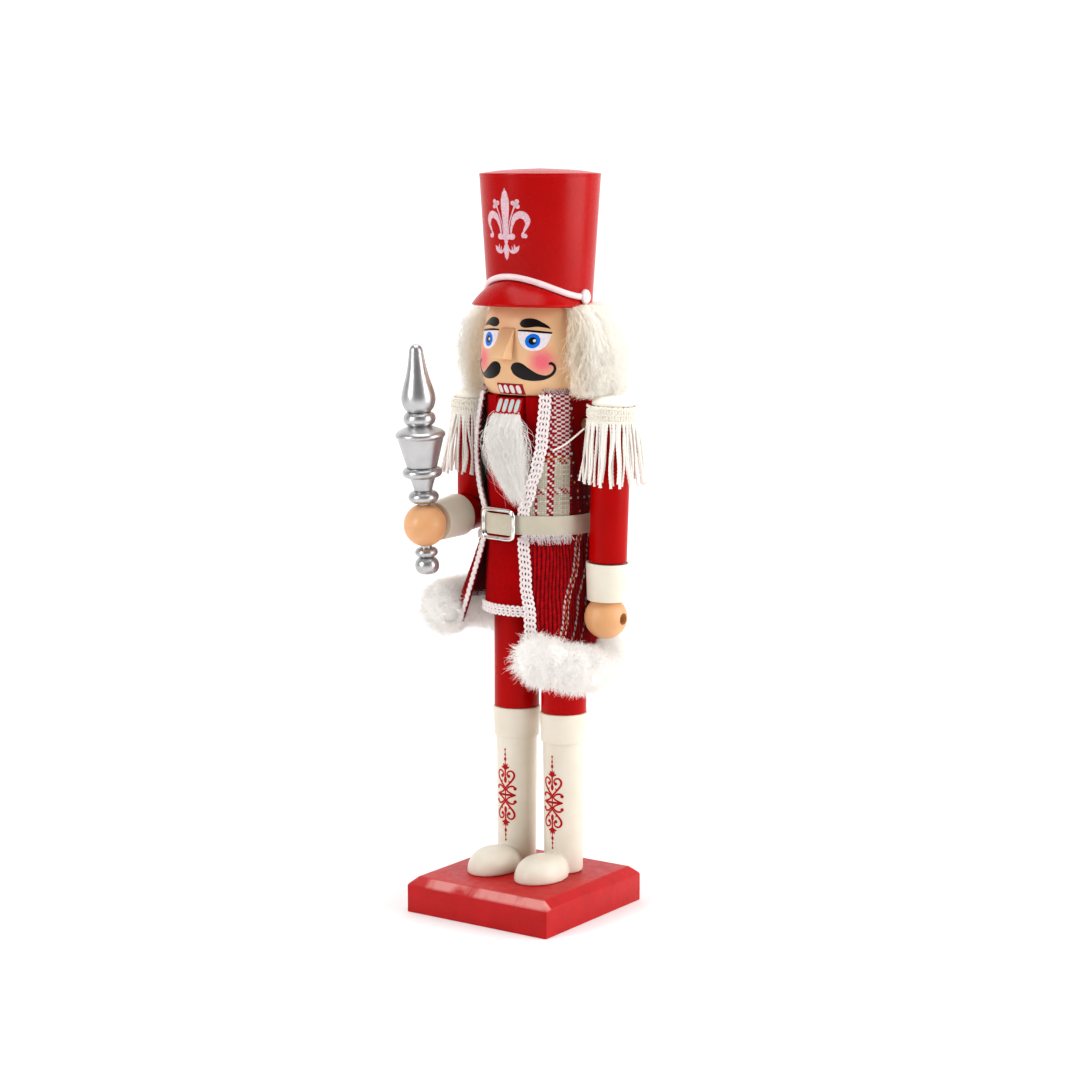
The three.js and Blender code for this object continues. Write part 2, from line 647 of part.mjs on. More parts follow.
// The skirt stands off in front and at the back and lies close at the sides, under the arms.
function tunicFlare(azimuth, z) {
  const open = Math.cos(rad(azimuth)) ** 2 * (Math.cos(rad(azimuth)) > 0 ? 2.6 : 2);
  return (open * Math.max(0, TUNIC.waist - z)) / (TUNIC.waist - TUNIC.hem);
}
const tunicTube = sheath(
  [TUNIC.hem, 170, 185, TUNIC.waist, 232, TUNIC.top].map((z) => [TUNIC.r, z]),
  TUNIC.wall,
  tunicFlare,
);
add(
  figure,
  "tunic",
  cut(tunicTube, leverSlot, rodAlongX(SHOULDER_DOWEL.r + 1.2, -60, 60, 0, SHOULDER_Z, 20)),
  RED_FELT,
);
const hemBraid = warpedBox(8, 1, 1, (u, v, t) => {
  const azimuth = lerp(-HEM_BRAID.sweep, HEM_BRAID.sweep, u);
  const z = TUNIC.hem + v * HEM_BRAID.height;
  return polar(TUNIC.r + tunicFlare(azimuth, z) + 0.3 + t * HEM_BRAID.depth, azimuth, z);
});
add(figure, "tunic_hem_braid", hemBraid, WHITE_BRAID);

// ---------------------------------------------------------------- coat: bodice above the belt, skirt below it
const leftEdge = [[208, 17], [220, 24], [232, 30.6], [244, 34.6], [268, 38]];
const rightEdge = [[208, 34], [222, 40], [240, 42], [268, 42]];

// Runs from low to bend while v goes from 0 to share, then on to high.
const stepped = (v, share, low, bend, high) =>
  v < share ? lerp(low, bend, v / share) : lerp(bend, high, (v - share) / (1 - share));

// The front edges puff out at chest height, and the sides lie close under the arms.
function bodiceRadius(azimuth, z) {
  const fromFront = Math.abs(THREE.MathUtils.euclideanModulo(azimuth + 180, 360) - 180);
  const chest = Math.sin((Math.PI * (z - BELT.top)) / (COAT.collar - BELT.top));
  return COAT.r + 3.6 * Math.max(0, chest) * through([[42, 1], [72, 0]], fromFront);
}

const bodiceShell = warpedBox(24, 6, 1, (u, v, t) => {
  const z = stepped(v, 1 / 6, COAT.waist + GAP, BELT.top + 0.6, COAT.collar);
  const azimuth = lerp(through(leftEdge, z), 360 - through(rightEdge, z), u);
  const collarDrop = through([[42, 0], [125, 4.4]], Math.min(azimuth, 360 - azimuth)) * v;
  return polar(bodiceRadius(azimuth, z) - COAT.wall * (1 - t), azimuth, z - collarDrop);
});
const ARMHOLE = { half: 10, low: 222, throat: 250 };
const armholeShape = new THREE.Shape();
armholeShape.moveTo(ARMHOLE.half, 280);
armholeShape.lineTo(-ARMHOLE.half, 280);
armholeShape.lineTo(-ARMHOLE.half, ARMHOLE.throat);
armholeShape.absellipse(0, ARMHOLE.throat, ARMHOLE.half, ARMHOLE.throat - ARMHOLE.low, Math.PI, 2 * Math.PI);
const armholes = plateAcross(armholeShape.getPoints(5).map((p) => [p.x, p.y]), 60);
const leverNotch = box([-9.4, 5, 234], [9.4, 60, 290]);
// Armholes cut the sides only, so the tool leaves out the middle of the body.
const sideArmholes = cut(armholes, box([-15, -60, 200], [15, 60, 290]));
add(figure, "coat_bodice", cut(bodiceShell, sideArmholes, leverNotch), WOVEN);

// The fur trim's centre line round the hem: [azimuth, radius], [azimuth, height], [azimuth, trim radius].
const furRadius = [
  [18, 37], [47, 39.5], [72, 39.5], [90, 38], [135, 36], [180, 40], [225, 45], [270, 49.5], [300, 48.5], [315, 45],
];
const furHeight = [
  [18, 136], [40, 135], [58, 131], [72, 129.3], [90, 129], [135, 131.5], [180, 138], [225, 146], [270, 155],
  [300, 156], [315, 153],
];
const furSize = [
  [18, 11], [30, 13.8], [58, 13.1], [90, 11], [135, 11], [180, 12.5], [300, 13.6], [315, 10],
];
const hemRadius = [
  [18, 33.2], [47, 33], [72, 29.2], [108, 29.2], [150, 33], [180, 35], [225, 38], [270, 40], [316, 41.2],
];

// The hem hangs to just above the trim.
function hemHeight(azimuth) {
  const size = through(furSize, azimuth) + 0.5;
  const inset = Math.min(size * 0.995, Math.abs(through(furRadius, azimuth) - through(hemRadius, azimuth)));
  return through(furHeight, azimuth) + Math.sqrt(size * size - inset * inset) + GAP;
}

const skirtLeft = [[148, 25.5], [160, 24.5], [177, 20], [196, 17]];
const skirtRight = [[148, 44], [165, 42], [196, 37]];
function skirtPoint(u, v, offset) {
  const tuck = BELT.low - 0.7; // where the skirt starts to go under the belt
  const roughZ = stepped(v, 0.8, 150, tuck, COAT.waist);
  const azimuth = lerp(through(skirtLeft, roughZ), 360 - through(skirtRight, roughZ), u);
  const z = stepped(v, 0.8, hemHeight(azimuth), tuck, COAT.waist);
  const spread = Math.max(0, (tuck - z) / (tuck - hemHeight(azimuth))) ** 1.15;
  return { azimuth, z, r: lerp(COAT.r, through(hemRadius, azimuth), spread) + offset };
}
const skirt = warpedBox(26, 5, 1, (u, v, t) => {
  const { azimuth, z, r } = skirtPoint(u, v, COAT.wall * (t - 1));
  return polar(r, azimuth, z);
});
add(figure, "coat_skirt", skirt, CHENILLE);

const furTrim = warpedBox(26, 3, 3, (u, v, t) => {
  const azimuth = lerp(18, 315, u);
  // a square section becomes a round one
  const [a, b] = [2 * v - 1, 2 * t - 1];
  const [x, y] = [a * Math.sqrt(1 - (b * b) / 2), b * Math.sqrt(1 - (a * a) / 2)];
  const size = through(furSize, azimuth);
  const end = Math.min(u, 1 - u) < 0.001 ? 0.55 : 1;
  return polar(
    through(furRadius, azimuth) + x * size * end,
    azimuth,
    through(furHeight, azimuth) + y * size * end,
  );
});
add(figure, "coat_fur_trim", furTrim, WHITE_FUR);

// Gimp braid on the coat's front edges, above and below the belt. sign is the edge's side of the front.
function edgeBraid(side, s) {
  const bodiceEdge = side === "left" ? leftEdge : rightEdge;
  const upper = warpedBox(2, 10, 1, (u, v, t) => {
    const z = lerp(BELT.top + 0.4, COAT.collar - 0.4, v);
    const across = (BRAID.width / COAT.r) * (180 / Math.PI);
    const azimuth = s * (through(bodiceEdge, z) + across * (u - 0.25));
    return polar(bodiceRadius(azimuth, z) + 0.5 + BRAID.depth * t, azimuth, z);
  });
  add(figure, `bodice_braid_${side}`, upper, WHITE_BRAID);
  const lower = warpedBox(2, 8, 1, (u, v, t) => {
    const along = (BRAID.width / COAT.r) * (180 / Math.PI) / (360 - 60);
    const base = Math.max(0, u * along - along * 0.25);
    const share = side === "left" ? base : 1 - base;
    const { azimuth, z, r } = skirtPoint(share, 0.79 * v, 0);
    return polar(r + 0.5 + BRAID.depth * t, azimuth, z);
  });
  add(figure, `skirt_braid_${side}`, lower, WHITE_BRAID);
}
for (const { side, s } of SIDES) edgeBraid(side, s);

// ---------------------------------------------------------------- belt and buckle
add(figure, "belt", ring([[BELT.r, BELT.low], [BELT.r, BELT.top]], BELT.wall - 0.1, 36), CREAM_LEATHER);

function roundedRect(target, width, height, r) {
  const [w, h] = [width / 2, height / 2];
  target.moveTo(-w + r, -h);
  target.lineTo(w - r, -h);
  target.absarc(w - r, -h + r, r, -Math.PI / 2, 0);
  target.lineTo(w, h - r);
  target.absarc(w - r, h - r, r, 0, Math.PI / 2);
  target.lineTo(-w + r, h);
  target.absarc(-w + r, h - r, r, Math.PI / 2, Math.PI);
  target.lineTo(-w, -h + r);
  target.absarc(-w + r, -h + r, r, Math.PI, 1.5 * Math.PI);
  return target;
}
const frame = roundedRect(new THREE.Shape(), BUCKLE.width, BUCKLE.height, 4);
frame.holes.push(
  roundedRect(new THREE.Path(), BUCKLE.width - 2 * BUCKLE.bar, BUCKLE.height - 2 * BUCKLE.bar, 2.2),
);
const buckle = new THREE.ExtrudeGeometry(frame, { depth: BUCKLE.depth, bevelEnabled: false, curveSegments: 3 })
  .rotateX(Math.PI / 2)
  .translate(0, -BELT.r - GAP, (BELT.low + BELT.top) / 2)
  .rotateZ(rad(BUCKLE.azimuth));
add(figure, "belt_buckle", buckle, STEEL);

export default nutcracker;
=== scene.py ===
"""The looks of the nutcracker figure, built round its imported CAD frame.

Shapes are worked out in millimetres in the figure's own frame: its axis is x = y = 0, it faces -Y
and its left hand is at +X. place() turns them into metres in the row frame. Azimuths are in
degrees from the front (-Y), growing towards the figure's left.
"""
import math

import bmesh
import bpy
import numpy as np
from mathutils import Matrix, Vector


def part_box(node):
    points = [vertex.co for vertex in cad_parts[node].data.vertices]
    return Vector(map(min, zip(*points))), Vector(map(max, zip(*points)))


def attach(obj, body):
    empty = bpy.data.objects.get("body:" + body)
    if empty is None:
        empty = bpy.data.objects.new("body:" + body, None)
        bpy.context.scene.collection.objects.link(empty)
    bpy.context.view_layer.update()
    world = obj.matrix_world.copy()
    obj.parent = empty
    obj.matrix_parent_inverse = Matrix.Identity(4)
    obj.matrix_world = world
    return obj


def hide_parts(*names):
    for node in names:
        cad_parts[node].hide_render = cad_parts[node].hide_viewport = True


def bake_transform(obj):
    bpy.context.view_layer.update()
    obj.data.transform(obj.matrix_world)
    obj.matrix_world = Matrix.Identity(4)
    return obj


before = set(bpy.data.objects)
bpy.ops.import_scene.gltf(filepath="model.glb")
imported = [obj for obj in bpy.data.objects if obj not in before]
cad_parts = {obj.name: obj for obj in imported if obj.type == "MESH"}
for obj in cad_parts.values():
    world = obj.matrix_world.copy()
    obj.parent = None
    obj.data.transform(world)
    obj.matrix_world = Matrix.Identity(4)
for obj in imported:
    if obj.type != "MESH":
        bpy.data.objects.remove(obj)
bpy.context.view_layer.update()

MM = 0.001
CAMERA_AZIMUTH = math.radians(34.66)
AWAY_FROM_CAMERA = (-math.sin(CAMERA_AZIMUTH), math.cos(CAMERA_AZIMUTH), 0)
torso_low, torso_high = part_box("torso")
AXIS_Y = (torso_low.y + torso_high.y) / 2
RNG = np.random.default_rng(11)
WELD_UP_TO = 60000  # faces; bigger meshes are made whole and need no welding


# ---------------- points and curves
def place(points):
    """Figure millimetres to row-frame metres."""
    return np.asarray(points, float).reshape(-1, 3) * MM + (0, AXIS_Y, 0)


def polar(r, azimuth, z):
    """Points at radius r, azimuth degrees and height z."""
    a = np.radians(azimuth)
    r, a, z = np.broadcast_arrays(np.asarray(r, float), a, z)
    return np.stack([r * np.sin(a), -r * np.cos(a), z], -1)


def curve(points, count=60, closed=False):
    """A smooth curve of count points, evenly spaced, through the given ones."""
    p = np.asarray(points, float)
    p = np.vstack([p[-1], p, p[:2]]) if closed else np.vstack([2 * p[0] - p[1], p, 2 * p[-1] - p[-2]])
    t = np.linspace(0, 1, 16, endpoint=False)[:, None]
    rows = []
    for a, b, c, d in zip(p, p[1:], p[2:], p[3:]):
        square = a - 2.5 * b + 2 * c - d / 2
        cube = 1.5 * (b - c) + (d - a) / 2
        rows.append(b + t * (c - a) / 2 + t**2 * square + t**3 * cube)
    rows.append(p[-2][None])
    return resample(np.vstack(rows), count)


def resample(points, count):
    """The same line with count evenly spaced points."""
    step = np.linalg.norm(np.diff(points, axis=0), axis=1)
    length = np.concatenate([[0], np.cumsum(step)])
    at = np.linspace(0, length[-1], count)
    return np.stack([np.interp(at, length, column) for column in np.asarray(points).T], -1)


def fillet(points, radius, steps=4):
    """A polyline with its corners rounded off."""
    p = np.asarray(points, float)
    out = [p[0]]
    for before, corner, after in zip(p, p[1:], p[2:]):
        arms = [before - corner, after - corner]
        reach = min(radius, *(0.45 * np.linalg.norm(a) for a in arms))
        start, end = (corner + a / np.linalg.norm(a) * reach for a in arms)
        for t in np.linspace(0, 1, steps):
            out.append((1 - t) ** 2 * start + 2 * t * (1 - t) * corner + t**2 * end)
    return np.array(out + [p[-1]])


def eased(x, table):
    """The value at x of a smooth curve through table's (x, value) pairs."""
    xs, values = np.array(table, float).T
    x = np.clip(np.asarray(x, float), xs[0], xs[-1])
    i = np.clip(np.searchsorted(xs, x, "right") - 1, 0, len(xs) - 2)
    t = (x - xs[i]) / (xs[i + 1] - xs[i])
    return values[i] + (values[i + 1] - values[i]) * t * t * (3 - 2 * t)


def ripple(x, y, waves=7, seed=1, base=1.0):
    """A smooth random field of about unit height."""
    rng = np.random.default_rng(seed)
    total = 0
    for k in range(waves):
        angle, phase = rng.uniform(0, 2 * math.pi, 2)
        f = base * rng.uniform(0.5, 2.2)
        total = total + np.sin(f * (x * math.cos(angle) + y * math.sin(angle)) + phase)
    return total / math.sqrt(waves)


def move(matrix, points):
    """Points turned and shifted by a 4 x 4 matrix."""
    p = np.asarray(points, float)
    m = np.array(matrix)
    return p @ m[:3, :3].T + m[:3, 3]


# ---------------- mesh pieces: (points, [faces, ...])
def lattice(nu, nv, wrap=False):
    """The quads of a grid of nu by nv points."""
    i = np.arange(nu if wrap else nu - 1)[:, None]
    j = np.arange(nv - 1)[None]
    a = i * nv + j
    b = ((i + 1) % nu) * nv + j
    return np.stack([a, b, b + 1, a + 1], -1).reshape(-1, 4)


def slab(outer, inner, wrap=False, keep=None):
    """The closed body between two (nu, nv, 3) surfaces. keep is a mask of the points that stay."""
    nu, nv = outer.shape[:2]
    n = nu * nv
    faces = lattice(nu, nv, wrap)
    if keep is not None:
        faces = faces[keep.reshape(-1)[faces].all(1)]
    edges = np.concatenate([faces[:, [k, (k + 1) % 4]] for k in range(4)])
    order = np.sort(edges, 1)
    _, first, uses = np.unique(order[:, 0] * n + order[:, 1], return_index=True, return_counts=True)
    rim = edges[first[uses == 1]]
    sides = np.stack([rim[:, 1], rim[:, 0], rim[:, 0] + n, rim[:, 1] + n], -1)
    points = np.concatenate([outer.reshape(-1, 3), inner.reshape(-1, 3)])
    return points, [np.concatenate([faces, faces[:, ::-1] + n, sides])]


def turned(profile, count=96, groove=None):
    """A profile of (radius, z) pairs turned about Z. groove is a fine seam's (azimuth, depth)."""
    p = np.asarray(profile, float)
    angle = np.arange(count) * 360 / count
    r = np.repeat(p[None, :, 0], count, 0)
    if groove:
        line = int(round(groove[0] / 360 * count)) % count
        r[line] = np.maximum(r[line] - groove[1], 0)
    return polar(r, angle[:, None], p[None, :, 1]).reshape(-1, 3), [lattice(count, len(p), True)]


def tubes(paths, radii, sides=5, up=(0, 0, 1), ply=0.0, turns=0.0):
    """Threads along paths (n, k, 3). ply flattens their section and turns twists it, as in a cord."""
    paths = np.asarray(paths, float)
    n, k = paths.shape[:2]
    t = np.gradient(paths, axis=1)
    t /= np.linalg.norm(t, axis=2, keepdims=True) + 1e-12
    side = np.cross(t, np.broadcast_to(np.asarray(up, float), t.shape))
    side /= np.linalg.norm(side, axis=2, keepdims=True) + 1e-9
    over = np.cross(side, t)
    angle = np.arange(sides) * 2 * math.pi / sides
    spin = np.linspace(0, turns * 2 * math.pi, k)[None, :, None]
    wide = 1 + ply * np.cos(2 * (angle[None, None] - spin))
    r = np.broadcast_to(np.asarray(radii, float), (n, k))[..., None] * wide
    ring = (
        paths[:, :, None]
        + (r * np.cos(angle))[..., None] * side[:, :, None]
        + (r * np.sin(angle))[..., None] * over[:, :, None]
    )
    base = (np.arange(n) * k * sides)[:, None, None]
    row = (np.arange(k - 1) * sides)[None, :, None]
    s = np.arange(sides)[None, None]
    a, b = base + row + s, base + row + (s + 1) % sides
    quads = np.stack([a, b, b + sides, a + sides], -1).reshape(-1, 4)
    starts = base[:, 0] + np.arange(sides)[::-1]
    ends = base[:, 0] + (k - 1) * sides + np.arange(sides)
    return ring.reshape(-1, 3), [quads, np.concatenate([starts, ends])]


def joined(parts):
    """Several mesh pieces as one."""
    points, blocks, count = [], [], 0
    for verts, faces in parts:
        points.append(np.asarray(verts).reshape(-1, 3))
        blocks += [f + count for f in faces]
        count += len(points[-1])
    return np.concatenate(points), blocks


def build(name, parts, material, body, replaces=(), tint=None, crease=40, bevel=0.0, at=None):
    """One Blender object from mesh pieces in millimetres, moved by the matrix at.

    tint is one colour, or a colour for each point.
    """
    points, blocks = joined(parts if isinstance(parts, list) else [parts])
    if at is not None:
        points = move(at, points)
    mesh = bpy.data.meshes.new(name)
    sizes = np.concatenate([np.full(len(b), b.shape[1]) for b in blocks])
    mesh.vertices.add(len(points))
    mesh.vertices.foreach_set("co", place(points).astype(np.float32).ravel())
    mesh.loops.add(int(sizes.sum()))
    corners = np.concatenate([b.ravel() for b in blocks])
    mesh.loops.foreach_set("vertex_index", corners.astype(np.int32))
    mesh.polygons.add(len(sizes))
    starts = np.concatenate([[0], np.cumsum(sizes)[:-1]])
    mesh.polygons.foreach_set("loop_start", starts.astype(np.int32))
    mesh.update(calc_edges=True)
    mesh.validate()
    if tint is not None:
        colours = mesh.attributes.new("tint", "FLOAT_COLOR", "POINT")
        rgba = np.ones((len(points), 4), np.float32)
        rgba[:, :3] = tint
        colours.data.foreach_set("color", rgba.ravel())
    if len(sizes) < WELD_UP_TO:
        weld(mesh, bevel)
    return finished(name, mesh, material, body, replaces, crease)


def finished(name, mesh, material, body, replaces, crease=40):
    """The object of a mesh, smooth up to crease degrees, riding on its body."""
    mesh.shade_smooth()
    mesh.set_sharp_from_angle(angle=math.radians(crease))
    mesh.materials.append(material)
    piece = bpy.data.objects.new(name, mesh)
    bpy.context.scene.collection.objects.link(piece)
    if body:
        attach(piece, body)
    if replaces:
        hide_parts(*replaces)
    return piece


def bevelled(bm, degrees, offset, **settings):
    """Rounds the edges that bend by more than degrees, offset millimetres wide."""
    limit = math.radians(degrees)
    sharp = [e for e in bm.edges if len(e.link_faces) == 2 and e.calc_face_angle(0) > limit]
    bmesh.ops.bevel(
        bm, geom=sharp, offset=offset * MM, segments=3, profile=0.6, affect="EDGES", **settings
    )


def weld(mesh, bevel=0.0):
    """Merges touching points, turns all faces outwards and rounds sharp edges by bevel millimetres."""
    bm = bmesh.new()
    bm.from_mesh(mesh)
    bmesh.ops.remove_doubles(bm, verts=bm.verts, dist=2e-6)
    bmesh.ops.dissolve_degenerate(bm, edges=bm.edges, dist=1e-6)
    bmesh.ops.recalc_face_normals(bm, faces=bm.faces)
    if bevel:
        bevelled(bm, 35, bevel)
    bm.to_mesh(mesh)
    bm.free()


def rounded_copy(node, name, material, body, bevel):
    """A CAD node's own shape with its edges rounded."""
    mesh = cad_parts[node].data.copy()
    mesh.materials.clear()
    bm = bmesh.new()
    bm.from_mesh(mesh)
    bmesh.ops.remove_doubles(bm, verts=bm.verts, dist=1e-6)
    bmesh.ops.dissolve_limit(bm, angle_limit=math.radians(1), verts=bm.verts, edges=bm.edges)
    bevelled(bm, 28, bevel, clamp_overlap=True)
    bm.to_mesh(mesh)
    bm.free()
    finished(name, mesh, material, body, [node])


# ---------------- materials
class Shader:
    """A principled material and the few node patterns that this script uses."""

    def __init__(self, name, rough, metal=0.0, **sockets):
        self.material = bpy.data.materials.new(name)
        self.material.use_nodes = True
        self.tree = self.material.node_tree
        self.principled = self.tree.nodes["Principled BSDF"]
        self.set(Roughness=rough, Metallic=metal)
        for socket, value in sockets.items():
            self.principled.inputs[socket.replace("_", " ")].default_value = value
        self.where = self.tree.nodes.new("ShaderNodeTexCoord").outputs["Object"]

    def set(self, **sockets):
        for socket, value in sockets.items():
            self.feed(self.principled.inputs[socket.replace("_", " ")], value)
        return self

    def feed(self, socket, value):
        if isinstance(value, bpy.types.NodeSocket):
            self.tree.links.new(value, socket)
        elif value is not None:
            if isinstance(value, tuple) and len(value) == 3 and socket.type == "RGBA":
                value = (*value, 1)
            socket.default_value = value

    def node(self, kind, output, settings=None, **inputs):
        made = self.tree.nodes.new("ShaderNode" + kind)
        for key, value in (settings or {}).items():
            setattr(made, key, value)
        for key, value in inputs.items():
            self.feed(made.inputs[key.replace("_", " ")], value)
        return made.outputs[output]

    def noise(self, scale, detail=3.0, distort=0.0, where=None):
        return self.node(
            "TexNoise", "Fac", Vector=where or self.where, Scale=scale, Detail=detail, Distortion=distort
        )

    def voronoi(self, scale, where=None):
        return self.node("TexVoronoi", "Distance", Vector=where or self.where, Scale=scale)

    def stretched(self, x, y, z):
        return self.node("Mapping", "Vector", Vector=self.where, Scale=(x, y, z))

    def math(self, operation, a, b=0.0, c=0.0):
        made = self.tree.nodes.new("ShaderNodeMath")
        made.operation = operation
        for socket, value in zip(made.inputs, (a, b, c)):
            self.feed(socket, value)
        return made.outputs[0]

    def ramp(self, factor, *stops):
        made = self.tree.nodes.new("ShaderNodeValToRGB")
        elements = made.color_ramp.elements
        while len(elements) < len(stops):
            elements.new(0.5)
        for element, (at, colour) in zip(elements, stops):
            element.position = at
            element.color = (*(colour if isinstance(colour, tuple) else (colour,) * 3), 1)
        self.feed(made.inputs["Fac"], factor)
        return made.outputs["Color"]

    def wander(self, scale, detail, low, high):
        """A value or a colour that wanders between two, over a noise."""
        return self.ramp(self.noise(scale, detail), *varied(low, high))

    def mix(self, factor, a, b, blend="MIX"):
        made = self.tree.nodes.new("ShaderNodeMix")
        made.data_type, made.blend_type = "RGBA", blend
        self.feed(made.inputs["Factor"], factor)
        self.feed(made.inputs["A"], a)
        self.feed(made.inputs["B"], b)
        return made.outputs["Result"]

    def bump(self, *layers):
        """Bump from (height, millimetres) layers."""
        normal = None
        for height, depth in layers:
            made = self.tree.nodes.new("ShaderNodeBump")
            made.inputs["Distance"].default_value = depth * MM
            self.feed(made.inputs["Height"], height)
            self.feed(made.inputs["Normal"], normal)
            normal = made.outputs["Normal"]
        self.feed(self.principled.inputs["Normal"], normal)
        return self

    def tint(self):
        return self.node("Attribute", "Color", {"attribute_name": "tint"})


def varied(a, b):
    """(low, high) stops of a ramp."""
    return (0.32, a), (0.68, b)


def red_paint():
    s = Shader("red_paint", 0.3, Specular_IOR_Level=0.12)
    s.set(
        Base_Color=s.wander(70, 5, (0.40, 0.0002, 0.0003), (0.44, 0.0004, 0.0005)),
        Roughness=s.wander(90, 3, 0.27, 0.33),
    )
    return s.bump((s.noise(1300, 2), 0.004)).material


def base_paint():
    """Brushed red paint, with a painted highlight in pale patches along the front chamfer."""
    s = Shader("base_paint", 0.4, Specular_IOR_Level=0.32)
    split = s.node("SeparateXYZ", "Z", Vector=s.where)
    upper = s.node("MapRange", "Result", Value=split, From_Min=0.0138, From_Max=0.0152)
    under_top = s.node("MapRange", "Result", Value=split, From_Min=0.0186, From_Max=0.0180)
    front = s.node("MapRange", "Result", Value=split.node.outputs["Y"], From_Min=-0.0385, From_Max=-0.0395)
    chamfer = s.math("MULTIPLY", s.math("MULTIPLY", upper, under_top), front)
    patches = s.ramp(s.noise(75, 4, 0.4, s.stretched(1, 0.5, 0.5)), (0.38, 0.12), (0.56, 1.0))
    grain = s.noise(50, 6, where=s.stretched(1, 12, 12))
    red = s.wander(90, 5, (0.44, 0.003, 0.004), (0.52, 0.004, 0.006))
    dust = s.ramp(s.noise(1500, 2), (0.64, 0.0), (0.78, 0.25))
    red = s.mix(dust, red, (0.62, 0.22, 0.2))
    # painted highlight: pale patches on the front chamfer only
    chamfer_highlight = s.math("MULTIPLY", chamfer, patches)
    s.set(
        Base_Color=s.mix(s.math("MULTIPLY", chamfer_highlight, 0.75), red, (0.78, 0.36, 0.33)),
        Roughness=s.wander(300, 3, 0.34, 0.46),
    )
    return s.bump((grain, 0.06), (s.noise(1200, 2), 0.012)).material


def hat_plastic():
    s = Shader("hat_plastic", 0.26, Specular_IOR_Level=0.2)
    s.set(
        Base_Color=s.wander(40, 4, (0.41, 0.0001, 0.0002), (0.45, 0.0003, 0.0004)),
        Roughness=s.wander(90, 3, 0.25, 0.29),
    )
    return s.bump((s.noise(1400, 2), 0.004), (s.noise(120, 2), 0.012)).material


def cream_plastic():
    s = Shader("cream_plastic", 0.34, Specular_IOR_Level=0.4)
    s.set(
        Base_Color=s.wander(60, 4, (0.75, 0.69, 0.575), (0.81, 0.755, 0.65)),
        Roughness=s.wander(400, 3, 0.3, 0.4),
    )
    return s.bump((s.noise(900, 2), 0.012), (s.noise(110, 2), 0.05)).material


def flesh_plastic():
    s = Shader("flesh_plastic", 0.36, Specular_IOR_Level=0.4)
    s.set(
        Base_Color=s.wander(80, 4, (0.70, 0.37, 0.175), (0.77, 0.43, 0.22)),
        Roughness=s.wander(500, 3, 0.33, 0.42),
    )
    return s.bump((s.noise(1000, 2), 0.015)).material


CHEEK = {"azimuth": 36.5, "z": 284.6, "r": 31.0, "reach": 0.0105}


def face_paint():
    """Tan paint with an airbrushed pink spot on each cheek."""
    s = Shader("face_paint", 0.42, Specular_IOR_Level=0.35)
    tan = s.wander(60, 4, (0.70, 0.43, 0.235), (0.77, 0.49, 0.285))
    pink = None
    for side in (-1, 1):
        spot = place(polar(CHEEK["r"], side * CHEEK["azimuth"], CHEEK["z"]))[0]
        away = s.node("VectorMath", "Value", {"operation": "DISTANCE"}, Vector=s.where)
        away.node.inputs[1].default_value = tuple(spot)
        dust = s.math("MULTIPLY", s.math("SUBTRACT", s.noise(900, 4), 0.5), 0.0028)
        soft = s.node(
            "MapRange", "Result", {"interpolation_type": "SMOOTHSTEP"},
            Value=s.math("ADD", away, dust), From_Min=CHEEK["reach"], From_Max=0.001, To_Max=0.9,
        )
        pink = soft if pink is None else s.math("MAXIMUM", pink, soft)
    s.set(Base_Color=s.mix(pink, tan, (0.78, 0.12, 0.19)), Roughness=s.wander(400, 3, 0.37, 0.46))
    grain = s.noise(45, 4, where=s.stretched(8, 8, 1))
    return s.bump((grain, 0.05), (s.noise(900, 2), 0.015)).material


def ink(name, colour, rough=0.35):
    s = Shader(name, rough, Specular_IOR_Level=0.25)
    deep = tuple(c * 0.86 for c in colour)
    s.set(Base_Color=s.wander(700, 3, deep, colour))
    return s.bump((s.noise(1600, 2), 0.01)).material


def silver_paint():
    s = Shader("silver_paint", 0.3, 0.92)
    flakes = s.voronoi(5200)
    s.set(
        Base_Color=s.wander(120, 3, (0.50, 0.50, 0.505), (0.58, 0.58, 0.585)),
        Roughness=s.ramp(flakes, (0.0, 0.24), (0.6, 0.36)),
    )
    return s.bump((flakes, 0.01), (s.noise(160, 3), 0.07)).material


def chrome():
    s = Shader("chrome", 0.09, 1.0)
    s.set(
        Base_Color=s.wander(300, 3, (0.78, 0.76, 0.72), (0.9, 0.9, 0.9)),
        Roughness=s.wander(900, 4, 0.06, 0.16),
    )
    return s.bump((s.noise(700, 3), 0.02)).material


def steel():
    s = Shader("steel", 0.32, 1.0)
    s.set(Base_Color=s.wander(200, 3, (0.42, 0.42, 0.43), (0.56, 0.56, 0.57)))
    return s.bump((s.noise(300, 3, where=s.stretched(1, 1, 14)), 0.03)).material


def bare_wood():
    s = Shader("bare_wood", 0.62)
    grain = s.noise(90, 6, 0.3, where=s.stretched(7, 7, 1))
    s.set(Base_Color=s.ramp(grain, *varied((0.42, 0.25, 0.11), (0.62, 0.43, 0.23))))
    return s.bump((grain, 0.12)).material


def pale_moulding():
    s = Shader("pale_moulding", 0.4, Coat_Weight=0.15)
    s.set(Base_Color=s.wander(160, 4, (0.80, 0.62, 0.64), (0.86, 0.72, 0.73)))
    return s.bump((s.noise(900, 3), 0.03)).material


def emblem_print():
    """A dotted halftone of pale ink on the red hat."""
    s = Shader("emblem_print", 0.45)
    s.set(Base_Color=s.ramp(s.voronoi(2600), (0.25, (0.80, 0.66, 0.71)), (0.62, (0.60, 0.34, 0.40))))
    return s.bump((s.noise(1500, 2), 0.012)).material


